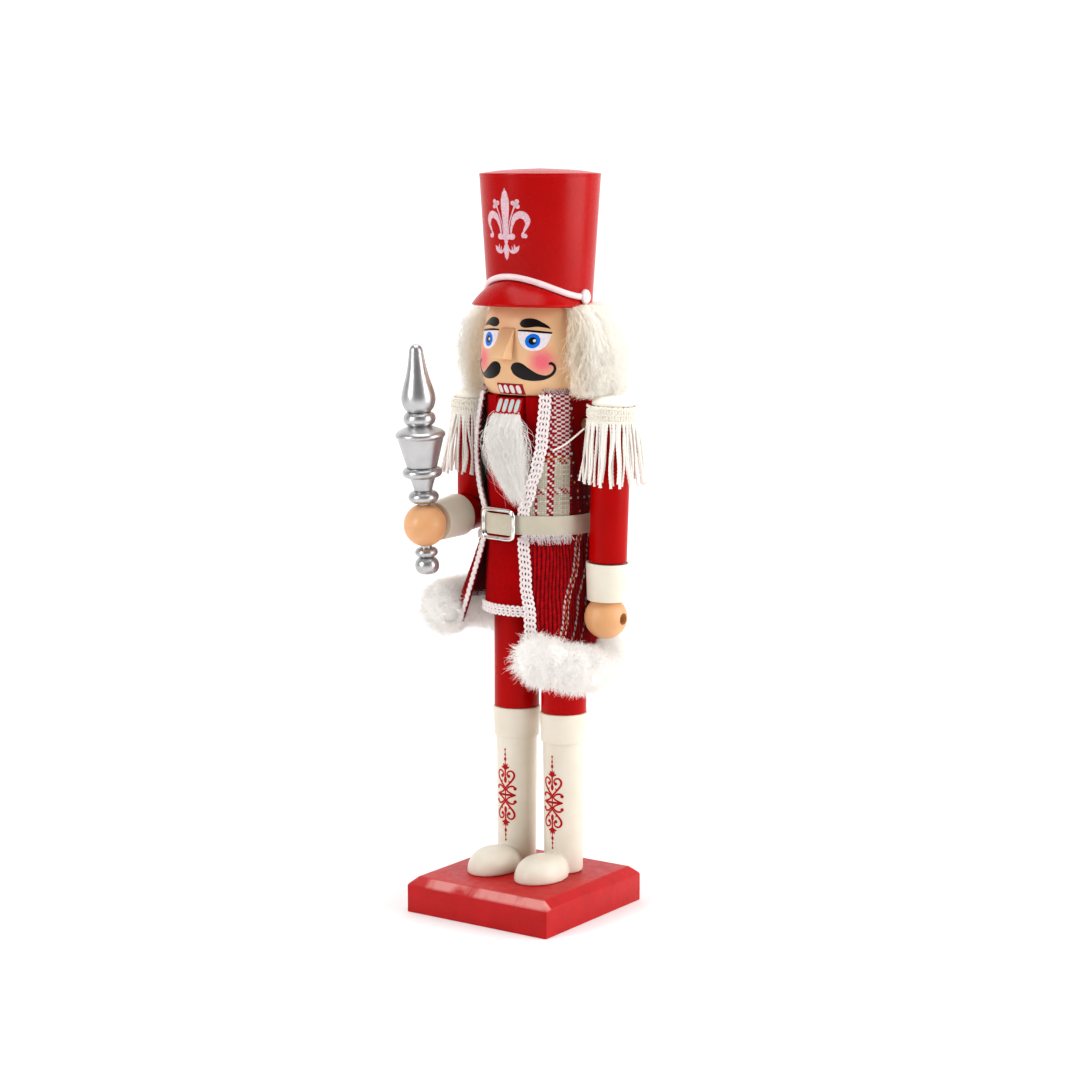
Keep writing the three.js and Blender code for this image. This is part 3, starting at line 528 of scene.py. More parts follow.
def felt(name, deep, bright):
    """Short matted red nap, in patches of two tones."""
    s = Shader(name, 0.95, Specular_IOR_Level=0.1, Sheen_Weight=0.12, Sheen_Roughness=0.5,
               Sheen_Tint=(0.9, 0.1, 0.1, 1))
    nap = s.noise(1500, 5, 0.8)
    fine = s.ramp(nap, *varied(deep, bright))
    broad = s.wander(110, 4, deep, bright)
    s.set(Base_Color=s.mix(0.35, fine, broad))
    return s.bump((nap, 0.22), (s.noise(5200, 2), 0.08)).material


def yarn(name, rough=0.88, sheen=0.3, fuzz=0.12, painted_light=0.0):
    """Thread whose colour comes from the mesh's own tint, darker and lighter along its fibres. Its emission
    is a painted light that lifts the shade between the threads.
    """
    s = Shader(name, rough, Specular_IOR_Level=0.15, Sheen_Weight=sheen, Sheen_Roughness=0.5)
    fibre = s.noise(3800, 4, 0.5)
    colour = s.mix(0.45, s.tint(), s.ramp(fibre, (0.3, 0.6), (0.7, 1.0)), "MULTIPLY")
    s.set(Base_Color=colour, Emission_Color=colour, Emission_Strength=painted_light)
    return s.bump((fibre, fuzz)).material


def fibre(name, painted_light):
    """Fine translucent hair in its strands' own tint. Its emission is a painted light that lifts the shade
    between the hairs.
    """
    s = Shader(name, 0.6, Specular_IOR_Level=0.3, Subsurface_Weight=0.35, Subsurface_Scale=0.002,
               Subsurface_Radius=(1.0, 0.95, 0.88), Emission_Strength=painted_light)
    colour = s.mix(0.5, s.tint(), s.ramp(s.noise(420, 4), (0.3, 0.82), (0.7, 1.0)), "MULTIPLY")
    s.set(Base_Color=colour, Emission_Color=colour)
    return s.bump((s.noise(4000, 2), 0.03)).material


def belt_vinyl():
    s = Shader("belt_vinyl", 0.38, Coat_Weight=0.1)
    pores = s.voronoi(1500)
    stain = s.wander(80, 5, (0.50, 0.455, 0.355), (0.58, 0.535, 0.43))
    specks = s.ramp(s.voronoi(220), (0.04, (0.18, 0.16, 0.13)), (0.075, (1.0, 1.0, 1.0)))
    s.set(Base_Color=s.mix(0.5, stain, specks, "MULTIPLY"), Roughness=s.wander(500, 3, 0.33, 0.46))
    return s.bump((pores, 0.03), (s.noise(140, 3), 0.1)).material


RED = red_paint()
BASE = base_paint()
HAT = hat_plastic()
CREAM = cream_plastic()
HANDS = flesh_plastic()
FACE = face_paint()
BLACK = ink("black_ink", (0.012, 0.010, 0.010), 0.3)
WHITE = ink("white_ink", (0.86, 0.80, 0.83))
IRIS = ink("blue_ink", (0.008, 0.20, 0.78))
TEETH = ink("tooth_ink", (0.78, 0.72, 0.70))
LOWER_TEETH = ink("lower_tooth_ink", (0.60, 0.70, 0.69))
GUMS = ink("gum_ink", (0.34, 0.003, 0.008))
SCROLL = ink("scroll_ink", (0.50, 0.002, 0.004))
SILVER = silver_paint()
CHROME = chrome()
STEEL = steel()
WOOD = bare_wood()
PALE = pale_moulding()
EMBLEM = emblem_print()
FELT = felt("red_felt", (0.27, 0.0006, 0.002), (0.42, 0.0012, 0.004))
YARN = yarn("woven_yarn", 0.88, 0.08)
CHENILLE = yarn("chenille_yarn", 0.95, 0.06, 0.3)
# The last number of BRAID, COTTON, HAIR and FUR is an emission strength: painted light that brightens their
# shaded threads and hairs.
BRAID = yarn("braid_thread", 0.8, 0.15, 0.1, 0.1)
COTTON = yarn("fringe_cotton", 0.85, 0.15, 0.1, 0.08)
HAIR = fibre("hair_fibre", 0.09)
FUR = fibre("fur_fibre", 0.07)
VINYL = belt_vinyl()


# ---------------- the surfaces that paint and cloth follow
HEAD_CURVE = curve([(267.4, 26.2), (269.2, 27.4), (273, 28.9), (279.5, 30.2), (283, 30.4), (289, 30.1),
                    (297.5, 28.9), (305, 27.2), (310.6, 25.3), (313, 24.6)], 80)
HAT_LOW, HAT_LOW_R, HAT_RIM, HAT_RIM_R = 312.4, 26.6, 377.5, 30.8


def head_radius(z):
    return np.interp(z, HEAD_CURVE[:, 0], HEAD_CURVE[:, 1])


def hat_radius(z):
    return HAT_LOW_R + (HAT_RIM_R - HAT_LOW_R) * (z - HAT_LOW) / (HAT_RIM - HAT_LOW)


def boot_radius(z):
    return 10.05 + 0.7 * (z - 18.5) / 68.5


def around(radius, centre_x=0.0):
    """surface(s, z, lift): s millimetres round a turned body from its front, lift out from its skin."""

    def surface(s, z, lift):
        r = radius(z)
        return polar(r + lift, np.degrees(s / r), z) + (centre_x, 0, 0)

    return surface


# ---------------- printed and painted shapes
CELLS = 5  # across a printed shape


def ruled(top, bottom, count=48):
    """A flat patch between two outlines."""
    t = np.linspace(0, 1, CELLS + 1)[None, :, None]
    top, bottom = curve(top, count), curve(bottom, count)
    return top[:, None] * (1 - t) + bottom[:, None] * t


def stroke(points, widths, count=48):
    """A brush stroke with round ends along a curve; widths are evenly spaced along it."""
    line = curve(points, count)
    along = np.linspace(0, 1, count)
    half = eased(along, list(zip(np.linspace(0, 1, len(widths)), widths))) / 2
    length = np.linalg.norm(np.diff(line, axis=0), axis=1).sum()
    end = np.minimum(along, 1 - along) * length
    half = np.where(end < half, np.sqrt(np.maximum(half**2 - (half - end) ** 2, 1e-6)), half)
    d = np.gradient(line, axis=0)
    normal = np.stack([-d[:, 1], d[:, 0]], -1) / (np.linalg.norm(d, axis=1, keepdims=True) + 1e-9)
    t = np.linspace(1, -1, CELLS + 1)[None, :, None]
    return line[:, None] + normal[:, None] * half[:, None, None] * t


def dot(x, z, rx, rz=None, count=24):
    """A flat round or oval spot."""
    turn = np.linspace(0, math.pi, count)
    across, up = -rx * np.cos(turn), (rz or rx) * np.sin(turn)
    t = np.linspace(1, -1, CELLS + 1)[None, :]
    return np.stack(np.broadcast_arrays(x + across[:, None], z + up[:, None] * t), -1)


def mirrored(patches):
    """The patches and their mirror images across the figure's middle."""
    return patches + [p[::-1] * (-1, 1) for p in patches]


def printed(name, surface, patches, lift, ink_material, body, sink=0.25):
    """Flat patches laid on a surface as a thin film of ink."""
    across_and_up = [(p[..., 0], p[..., 1]) for p in patches]
    parts = [slab(surface(*at, lift), surface(*at, -sink)) for at in across_and_up]
    build(name, parts, ink_material, body)


def painted_face():
    head = around(head_radius)
    brow = ruled(
        [(6.2, 303.3), (7.3, 305.1), (10.2, 306), (13.9, 305.7), (17.7, 304.1), (20.9, 302.3),
         (22.5, 300.8)],
        [(6.2, 303.3), (7.6, 301.8), (10.4, 301.4), (15, 301.9), (19.3, 301.5), (22.5, 300.8)],
    )
    lid = stroke([(5.6, 300.0), (11, 299.9), (17, 299.4), (23.5, 298.8)], [0.8, 1.0, 1.0, 0.9])
    eye = ruled(
        [(5.7, 299.9), (11, 299.8), (17, 299.3), (23.4, 298.7)],
        [(5.9, 299.2), (6.5, 296.2), (8.1, 293.1), (11, 290.8), (14.8, 290.0), (18.8, 291), (21.7, 293.8),
         (23.2, 298)],
    )
    moustache = ruled(
        [(3, 281.2), (3.9, 283.2), (6.2, 284.2), (9.1, 283.7), (12.4, 281.5), (15.7, 279.3), (18.4, 278.1),
         (21, 277.8), (23.2, 278.6), (24.8, 280.2), (25.1, 281.8), (24.3, 282.9), (22.7, 283.2)],
        [(3, 281.2), (4.3, 278.4), (7.2, 276.4), (10.8, 275.3), (15.2, 275), (19.9, 275.6), (23.8, 277.3),
         (25.8, 279.2), (26.5, 281.2), (25.9, 283.2), (24.1, 284.5), (22.6, 284.1)],
        90,
    )
    x, z = 14.0, 294.9  # the middle of the left eye
    gums = ruled([(-7, 273.4), (0, 273.4), (8.6, 273.3)], [(-6.6, 267.7), (0, 267.7), (8.9, 267.7)])
    teeth = [stroke([(x, 272.6), (x + 0.5, 268.2)], [2.2, 2.5, 2.5], 24) for x in (-5.2, -1.6, 2.0, 5.6)]
    for name, patches, lift, ink_material in (
        ("eye_whites", mirrored([eye]), 0.05, WHITE),
        ("eye_irises", mirrored([dot(x, z, 3.85, 3.55, 40)]), 0.09, IRIS),
        ("eye_pupils", mirrored([dot(x, z, 2.05, 1.85, 32)]), 0.13, BLACK),
        ("eye_glints", [dot(s * x + 0.9, z + 0.15, 0.78) for s in (-1, 1)], 0.17, WHITE),
        ("brows_and_moustache", mirrored([brow, lid, moustache]), 0.1, BLACK),
        ("upper_gums", [gums], 0.06, GUMS),
        ("upper_teeth", teeth, 0.11, TEETH),
    ):
        printed(name, head, patches, lift, ink_material, "figure")


def lower_teeth():
    """Teeth on the jaw's sloping lip."""

    def lip(s, z, lift):
        y = -26.2 - 3.4 * (266 - z) / 7.5
        return np.stack(np.broadcast_arrays(s, y - lift, z), -1)

    teeth = [stroke([(x, 265.4), (x - 0.3, 258.8)], [2.3, 2.5, 2.2], 24) for x in (-5.4, -1.8, 1.8, 5.4)]
    printed("lower_teeth", lip, teeth, 0.12, LOWER_TEETH, "jaw")


def hat_emblem():
    """A heraldic lily: blade, bar, two curled petals, two clover stems and a foot."""
    blade = stroke([(0, 370.4), (0, 357), (0, 344.6)], [0.3, 3.4, 5.0, 4.9, 4.2, 3.5, 2.9, 2.5, 2.3], 60)
    bar = stroke([(-5.4, 346.6), (0, 346.2), (5.4, 346.6)], [2.4, 3.1, 2.6, 3.6, 2.6, 3.1, 2.4])
    foot = stroke([(0, 345), (0, 334.6)], [3.0, 1.6, 1.5, 2.9, 2.3, 0.3])
    petal = stroke(
        [(2.9, 347.8), (3.6, 351.5), (5.3, 355.4), (8.3, 357.3), (11.3, 356), (12, 352.9), (10.4, 349.7),
         (9.3, 347.4), (10.2, 345.9)],
        [0.9, 1.3, 2.2, 3.3, 3.7, 3.2, 1.8, 1.0, 2.0],
        70,
    )
    curl = dot(10.6, 346.8, 1.15)
    stem = stroke([(1.5, 347.5), (2.2, 352.5), (3.9, 357.5), (5.6, 361.4)], [0.55, 0.5, 0.6, 0.9])
    clover = [dot(4.6, 363, 1.15), dot(6.9, 363.7, 1.2), dot(7.2, 361.3, 1.15), dot(5.9, 362.3, 1.3)]
    tail = stroke([(0.6, 342.4), (1.7, 339.8), (4, 338.8), (6, 340.2), (7.4, 342.0)],
                  [0.9, 0.9, 1.6, 2.3, 0.4])
    spikes = [
        stroke([(4.9, 340.2), (4.6, 342.7)], [1.2, 0.3], 12),
        stroke([(3.7, 339.6), (3.2, 341.8)], [1, 0.3], 12),
    ]
    surface = around(hat_radius)

    def centred(s, z, lift):
        return surface(s - 0.7, z, lift)

    patches = [blade, bar, foot] + mirrored([petal, curl, stem, tail, *clover, *spikes])
    printed("hat_emblem", centred, patches, 0.1, EMBLEM, "figure", 0.3)


ORNAMENT_Z = 56.3  # the middle of the boot's ornament


def boot_ornament(side, x):
    """A scroll that is the same up and down, left and right."""
    quarter = [
        stroke([(0, 3.6), (2.4, 6.2), (4.6, 9.0), (5.0, 11.2), (3.7, 12.8), (1.8, 12.4), (1.1, 10.9),
                (1.9, 9.8)], [0.8, 0.95, 1, 1.1, 1.1, 0.9, 0.75, 1], 60),
        dot(2.0, 10.0, 0.9),
        stroke([(2.6, 6.4), (1.9, 7.7)], [1, 0.38], 12),
        stroke([(0.2, 2.4), (2.2, 4.3), (4.3, 4.7), (5.7, 3.6)], [0.6, 0.9, 1, 0.9]),
        dot(5.4, 3.5, 0.9),
        stroke([(0, 3.6), (1.4, 1.9), (3.2, 0.9), (5.9, 0)], [0.8, 0.9, 0.8, 0.5]),
        stroke([(0, 0.1), (2.8, 0.2), (5.9, 0)], [0.9, 0.7, 0.4]),
        stroke([(0, 13.6), (1.2, 14.5), (2.4, 14.8)], [0.9, 1.1, 0.77], 20),
        stroke([(0, 13.6), (0.8, 15.4), (1.3, 16.6)], [0.9, 1.1, 0.5], 20),
    ]
    half = mirrored(quarter) + [
        stroke([(0, 13.8), (0, 15.4), (0, 17.1)], [1, 1.1, 0.5], 20),
        stroke([(0, 14), (0, 11.4), (0, 8.4)], [1, 0.77, 0.77], 24),
        dot(0, 8.0, 0.85, 1.7),
        stroke([(0, 16.8), (0, 24.2)], [0.33, 0.33], 24),
        dot(0, 19.0, 0.72, 1.0),
        dot(0, 21.5, 0.5, 0.65),
        dot(0, 24.2, 0.5, 0.55),
        dot(0, 1.5, 0.35, 1.4),
    ]
    whole = half + [p[:, ::-1] * (1, -1) for p in half]
    patches = [p + (0, ORNAMENT_Z) for p in whole]
    surface = around(boot_radius, x)
    printed(f"boot_ornament_{side}", surface, patches, 0.07, SCROLL, "figure")


# ---------------- base and legs
SIDES = (("left", 1), ("right", -1))
LEG_X = 14.8
SOLE_Z = 18.4  # just inside the base's top
SHOE_SIZE = (12.5, 17.0, 12.2)  # half its width, half its length, and its height
SHOE_AT = (0, -20.4, SOLE_Z)


def square_base():
    """A square block with a broad chamfer, centred on the row frame's origin."""
    half, edge, top, chamfer = 43.5, 14.5, 18.5, 4.3
    rings = [(half, 0), (half, edge), (half - chamfer, top)]
    corners = [(-1, -1), (1, -1), (1, 1), (-1, 1)]
    points = np.array([(h * x, h * y - AXIS_Y / MM, z) for h, z in rings for x, y in corners])
    faces = [[3, 2, 1, 0], [8, 9, 10, 11]]
    for low in (0, 4):
        for i in range(4):
            after = (i + 1) % 4
            faces.append([low + i, low + after, low + 4 + after, low + 4 + i])
    build("base_block", (points, [np.array(faces)]), BASE, "figure", ["base"],
          bevel=0.7, crease=25)


def shoe():
    """A plump toe: a dome with nearly upright sides, closed underneath."""
    rows, count = 30, 80
    t = np.linspace(0, math.pi / 2, rows)
    points, faces = turned(np.stack([np.cos(t) ** 0.72, np.sin(t) ** 0.86], -1), count)
    rim = np.arange(count) * rows
    sole = np.stack([rim, np.roll(rim, -1), np.full(count, len(points))], -1)
    points = np.concatenate([points, [(0, 0, 0)]])
    return points * SHOE_SIZE + SHOE_AT, faces + [sole]


def fused(piece, voxel, passes):
    """Melts a piece's overlapping solids into one moulding with soft inside corners."""
    melt = piece.modifiers.new("melt", "REMESH")
    melt.mode, melt.voxel_size = "VOXEL", voxel * MM
    soften = piece.modifiers.new("soften", "SMOOTH")
    soften.factor, soften.iterations = 0.5, passes
    bpy.context.view_layer.update()
    solid = piece.evaluated_get(bpy.context.evaluated_depsgraph_get())
    mesh = bpy.data.meshes.new_from_object(solid)
    piece.modifiers.clear()
    piece.data = mesh
    mesh.shade_smooth()


def legs():
    """A boot and shoe in one moulding, a boot top and a straight trouser leg on each side."""
    shaft = fillet([(0, SOLE_Z), (10.05, SOLE_Z), (10.75, 87), (10.75, 95), (0, 95)], 0.4)
    top = fillet([(10.4, 88), (11.55, 87), (11.75, 87.5), (12.4, 101.7), (12.1, 102.5), (10.5, 102.5)],
                 0.35)
    trousers = fillet([(0, 102.6), (11.7, 102.6), (11.7, 166), (0, 166)], 0.4)
    for side, s in SIDES:
        at = Matrix.Translation((s * LEG_X, 0, 0))
        boot = build(f"moulded_boot_{side}", [turned(shaft), shoe()], CREAM, "figure",
                     [f"boot_{side}", f"shoe_{side}"], at=at)
        fused(boot, 0.4, 55)
        build(f"boot_top_{side}", turned(top), CREAM, "figure",
              [f"boot_cuff_{side}"], at=at)
        build(f"trousers_{side}", turned(trousers), RED, "figure",
              [f"trouser_leg_{side}"], at=at)
        boot_ornament(side, s * LEG_X)


# ---------------- head and hat
def head():
    line = np.vstack([[(0, 267.4), (25.4, 267.4)], HEAD_CURVE[:, ::-1], [(24.3, 320), (0, 320)]])
    build("head_barrel", turned(line, 128), FACE, "figure", ["head"])
    rounded_copy("nose", "nose_wedge", FACE, "figure", 0.75)


CORD_HEIGHT = 3.2


def cord_z(azimuth):
    return 316.2 + 10.3 * np.cos(np.radians(azimuth)) ** 2


def crown():
    """The tapered hat with its domed top, thin wall and two mould seams."""
    wall, count = 1.8, 180
    skin = fillet(
        [(HAT_LOW_R - wall, HAT_LOW), (HAT_LOW_R, HAT_LOW), (HAT_RIM_R - 0.15, HAT_RIM - 1.6),
         (HAT_RIM_R, HAT_RIM - 0.9), (HAT_RIM_R, HAT_RIM), (HAT_RIM_R - 3, HAT_RIM + 0.4),
         (HAT_RIM_R - 9, HAT_RIM + 1.3), (HAT_RIM_R - 18, 379.5), (0, 380)],
        0.8,
    )
    lining = [(0, 378), (HAT_RIM_R - wall, HAT_RIM - wall), (HAT_LOW_R - wall, HAT_LOW)]
    points, faces = turned(np.vstack([skin, lining]), count)
    grid = points.reshape(count, -1, 3)
    for line in (count // 4, 3 * count // 4):
        grid[line, : len(skin) - 3] *= (1.004, 1.004, 1)
    build("hat_shell", (grid.reshape(-1, 3), faces), HAT, "figure", ["hat_crown"])


def peak():
    """The visor springs from under the cord and slopes out to a thin edge."""
    azimuth = np.linspace(-81, 81, 120)[:, None]
    v = np.linspace(0, 1, 22)[None]
    front, across = np.cos(np.radians(azimuth)), np.sin(np.radians(azimuth))
    outer = np.maximum(12.3 * front + np.sqrt(27.5**2 - (12.3 * across) ** 2), HAT_LOW_R + 1.5)
    top_z = cord_z(azimuth) - CORD_HEIGHT / 2 - 0.1
    edge_z = 310.9 + 1.2 * front**2
    swell = v**0.85
    upper_r = hat_radius(top_z) - 0.2 + (outer - hat_radius(top_z) + 0.2) * swell
    upper_z = top_z + (edge_z + 1.0 - top_z) * (0.72 * v + 0.28 * v**2.2)
    lower_r = HAT_LOW_R - 0.3 + (outer - 0.5 - HAT_LOW_R) * swell
    lower_z = HAT_LOW + 0.4 + (edge_z - HAT_LOW - 0.4) * v
    visor = slab(polar(upper_r, azimuth, upper_z), polar(lower_r, azimuth, lower_z))
    build("hat_peak", visor, HAT, "figure", ["hat_visor"], bevel=0.35)


def band_cord():
    """A flattened moulded cord that arches over the visor."""
    steps, sides = 140, 14
    azimuth = np.linspace(-84, 84, steps)
    path = polar(hat_radius(cord_z(azimuth)) + 0.35, azimuth, cord_z(azimuth))
    outward = polar(1, azimuth, 0)
    points, faces = tubes(path[None], 1.0, sides, outward[None])
    out = outward[None, :, None]
    section = points.reshape(1, steps, sides, 3) - path[None, :, None]
    depth = np.sum(section * out, -1, keepdims=True) * out
    cord = path[None, :, None] + (section - depth) * 1.6 + depth * 1.15
    build("hat_band_cord", (cord.reshape(-1, 3), faces), PALE, "figure", ["hat_cord"])


def hat():
    crown()
    peak()
    band_cord()
    cap = fillet([(0, 0), (3.75, 0), (3.75, 1.2), (3.2, 1.9), (2.2, 1.7), (1.6, 2.1), (0, 2.2)], 0.5)
    for side, s in SIDES:
        at = Matrix.Translation((s * 26.9, 0, 316.2)) @ Matrix.Rotation(s * math.radians(86), 4, "Y")
        build(f"hat_stud_{side}", turned(cap, 48), PALE, "figure",
              [f"hat_button_{side}"], at=at)
    hat_emblem()


# ---------------- arms, hands and sceptre
SHOULDER_Z, ARM_R, CUFF_LENGTH, HAND_R = 252, 9.7, 19.4, 11
LEFT_ARM = Matrix.Translation((43.9, 0, SHOULDER_Z)) @ Matrix.Rotation(math.radians(1.96), 4, "Y")
RIGHT_ARM = Matrix.Translation((-40.6, 0, SHOULDER_Z))
DROOP = math.radians(4.3)
ELBOW = -48.3
FOREARM = RIGHT_ARM @ Matrix.Translation((0, 0, ELBOW)) @ Matrix.Rotation(DROOP - math.pi / 2, 4, "X")
SCEPTRE = FOREARM @ Matrix.Translation((0, 0, -44.4)) @ Matrix.Rotation(math.pi / 2, 4, "X")


def cuff(top):
    """A slightly flared sleeve end that hangs from height top."""
    low = top - CUFF_LENGTH
    line = [(9.2, low), (9.9, low), (11.1, top), (9.9, top), (9.8, top - 0.8), (0, top - 0.8)]
    return turned(np.vstack([[(0, low + 0.3)], fillet(line, 0.45)]), 96)


def bored_ball():
    """A hand: a ball bored along Z, with a moulding line round its middle."""
    bore = 3.1
    t = np.linspace(-math.acos(bore / HAND_R), math.acos(bore / HAND_R), 61)
    r = HAND_R - 0.14 * (np.abs(t) < 0.02)
    skin = np.stack([r * np.cos(t), r * np.sin(t)], -1)
    end = skin[-1][1]
    return turned(np.vstack([skin, [(bore - 0.1, end - 0.5), (bore - 0.1, 0.5 - end)], skin[:1]]), 96)


def left_arm():
    """A straight hanging arm with its cuff and hand."""
    top = 182.7 - SHOULDER_Z
    dowel = fillet([(0, top + 0.2), (ARM_R, top + 0.2), (ARM_R, 8.4), (8.2, 9.9), (0, 9.9)], 0.9)
    centre = (LEFT_ARM @ Matrix.Translation((0, 0, top - CUFF_LENGTH - HAND_R + 2))).translation
    palm = Matrix.Translation(centre) @ Matrix.Rotation(math.pi / 2, 4, "Y")
    for name, mesh, paint, slot, node, at in (
        ("arm_dowel_left", turned(dowel), RED, "red_paint", "arm_left", LEFT_ARM),
        ("sleeve_cuff_left", cuff(top), CREAM, "cream_plastic", "cuff_left", LEFT_ARM),
        ("hand_ball_left", bored_ball(), HANDS, "flesh_plastic", "hand_left", palm),
    ):
        build(name, mesh, paint, "left_arm", [node], at=at)


def mitred(ends, elbow, sign):
    """Half of the bent arm, from its end rings to the slanted cut at the elbow."""
    count = 96
    angle = np.arange(count) * 2 * math.pi / count
    x, y = np.cos(angle), np.sin(angle)
    bend = elbow + sign * ARM_R * y * math.tan((math.pi / 2 - DROOP) / 2)
    rings = [(r, np.full(count, z)) for r, z in ends]
    rings += [(ARM_R, bend - 0.5 * sign), (ARM_R - 0.25, bend - 0.05 * sign), (0, np.full(count, elbow))]
    grid = np.stack([np.stack([r * x, r * y, z], -1) for r, z in rings], 1)
    return grid.reshape(-1, 3), [lattice(count, len(rings), True)]


def right_arm():
    """An arm bent at a mitred elbow, with its cuff and hand."""
    upper = mitred(fillet([(0, 9.9), (8.2, 9.9), (ARM_R, 8.4), (ARM_R, 0)], 0.9), ELBOW, -1)
    lower = mitred(fillet([(0, -15.8), (ARM_R, -15.8), (ARM_R, -14)], 0.4), 0.0, 1)
    for name, mesh, paint, slot, node, at in (
        ("upper_arm_right_dowel", upper, RED, "red_paint", "upper_arm_right", RIGHT_ARM),
        ("forearm_right_dowel", lower, RED, "red_paint", "forearm_right", FOREARM),
        ("sleeve_cuff_right", cuff(-16), CREAM, "cream_plastic", "cuff_right", FOREARM),
        ("hand_ball_right", bored_ball(), HANDS, "flesh_plastic", "hand_right", SCEPTRE),
    ):
        build(name, mesh, paint, "right_arm", [node], at=at)


def bead(centre, half, r, neck, steps=14):
    """The profile of a turned bead of radius r between necks."""
    t = np.linspace(-math.pi / 2, math.pi / 2, steps)
    return np.stack([neck + (r - neck) * np.cos(t), centre + half * np.sin(t)], -1)


def sceptre():
    """A turned finial above the hand and a pommel below it, each with a fine mould line."""
    drop = curve([(5.9, 58.4), (7.6, 60.4), (8.6, 63.6), (8.5, 67), (7.5, 71), (5.9, 76.2), (4.7, 81.5),
                  (3.9, 86.5), (3.3, 90.2), (1.9, 92.2), (0, 92.7)], 48)
    cup = fillet([(7.8, 30.2), (11.8, 45), (12.7, 45.8), (12.8, 47), (11.8, 48.4), (5.7, 51.2)], 0.8)
    collar = fillet([(4.6, 18), (4.8, 19), (6.5, 24.6)], 0.8)
    finial = np.vstack([[(0, 11.3)], bead(14.6, 3.3, 7.8, 3.6), collar, bead(27.3, 2.7, 10.2, 6.9), cup,
                        bead(54.8, 3.4, 8.2, 5.4), drop])
    pommel = np.vstack([[(0, -25.5)], bead(-21, 4.4, 6.25, 2.6), bead(-14.1, 2.3, 5.9, 3.4), [(0, -11.8)]])
    for name, mesh, node in (
        ("sceptre_head", turned(finial, 120, (100, 0.16)), "sceptre_finial"),
        ("sceptre_knob", turned(pommel, 96, (100, 0.14)), "sceptre_pommel"),
    ):
        build(name, mesh, SILVER, "sceptre", [node], at=SCEPTRE)


# ---------------- threads, braid and fringe
BRAID_WHITE = np.array((0.95, 0.87, 0.86))


def gimp(name, route, normals, across, replaces, width=5.4, pitch=2.9):
    """Loop braid along a route: a row of scallops on either side of a plaited middle."""
    length = np.linalg.norm(np.diff(route, axis=0), axis=1).sum()
    count = max(4, int(length / pitch))
    at = np.linspace(0, 1, count * 24)
    line, out, side = (np.stack([np.interp(at, np.linspace(0, 1, len(f)), c) for c in f.T], -1)
                       for f in (route, normals, across))
    phase = at * count * 2 * math.pi
    along = np.gradient(line, axis=0)
    along /= np.linalg.norm(along, axis=1, keepdims=True) + 1e-9
    threads = []
    for sign in (-1, 1):
        for layer, swing, lift in ((0, 1.0, 0.0), (1, 0.72, 0.35)):
            reach = width * (0.31 + 0.19 * swing * np.cos(phase + 0.5 * sign * layer))
            curl = 0.62 * swing * np.sin(phase + 0.5 * sign * layer)
            threads.append(line + side * (sign * reach)[:, None] + along * (pitch * 0.36 * curl)[:, None]
                           + out * (0.35 + lift * 0.5 + 0.25 * np.sin(phase))[:, None])
        weave = width * 0.17 * sign * np.cos(phase * 0.5)
        threads.append(line + side * weave[:, None] + out * (0.55 + 0.3 * sign * np.sin(phase))[:, None])
    paths = np.stack(threads)
    thick = np.array([0.6, 0.46, 0.5] * 2)[:, None] * min(1.0, width / 5)
    verts, faces = tubes(paths, thick, 6, np.broadcast_to(out[None], paths.shape))
    shade = 0.9 + 0.1 * np.sin(np.arange(len(verts)) * 0.37)
    tint = BRAID_WHITE * shade[:, None]
    return build(name, (verts, faces), BRAID, "figure", replaces, tint)


AROUND_SHOULDER = 300  # degrees that the band and the fringe cover


def shoulder_pad(side, matrix, body):
    line = fillet([(0, 10.3), (10.5, 10.3), (10.6, 12.6), (9.2, 14.4), (5, 14.9), (0, 15.1)], 1.6, 7)
    points, faces = turned(line, 72)
    points = points + ripple(points[:, :1], points[:, 1:2], seed=3, base=0.7) * (0, 0, 0.12)
    cushion = build(f"shoulder_pad_{side}", (points, faces), COTTON, body,
                    [f"epaulette_pad_{side}"], (0.95, 0.92, 0.84), at=matrix)


def shoulder_band(side, start, matrix, body):
    """Upright loops crossed by rows of cord, on a thin backing."""
    count, steps = 46, 26
    z = np.linspace(2.6, 10.4, steps)
    middles = start + AROUND_SHOULDER * (np.arange(count) + 0.5) / count
    loops = []
    for k, azimuth in enumerate(middles):
        sway = 0.8 * np.sin(z * 1.9 + (k % 2) * math.pi)
        loops.append(polar(12.2 + 0.6 * np.cos(z * 2.42), azimuth + sway, z))
    along = np.linspace(start, start + AROUND_SHOULDER, 260)
    cords = []
    for height, phase in ((2.9, 0), (2.9, math.pi), (6.6, 0), (6.6, math.pi), (10.1, 0)):
        swing = np.radians(along) * 30 + phase
        cords.append(polar(12.75 + 0.28 * np.cos(swing), along, height + 0.42 * np.sin(swing)))
    up = np.broadcast_to(polar(1, middles, 0)[:, None], (count, steps, 3))
    rows = np.linspace(2.2, 10.3, 8)[None]
    backing = slab(polar(12.2, along[:, None], rows), polar(11.6, along[:, None], rows))
    band = [tubes(np.stack(loops), 0.58, 7, up), tubes(np.stack(cords), 0.36, 6), backing]
    points, faces = joined(band)
    tone = np.array((0.95, 0.91, 0.82)) * RNG.uniform(0.93, 1.0, (len(points), 1))
    build(f"shoulder_braid_{side}", (points, faces), COTTON, body,
          [f"epaulette_band_{side}"], tone, at=matrix)


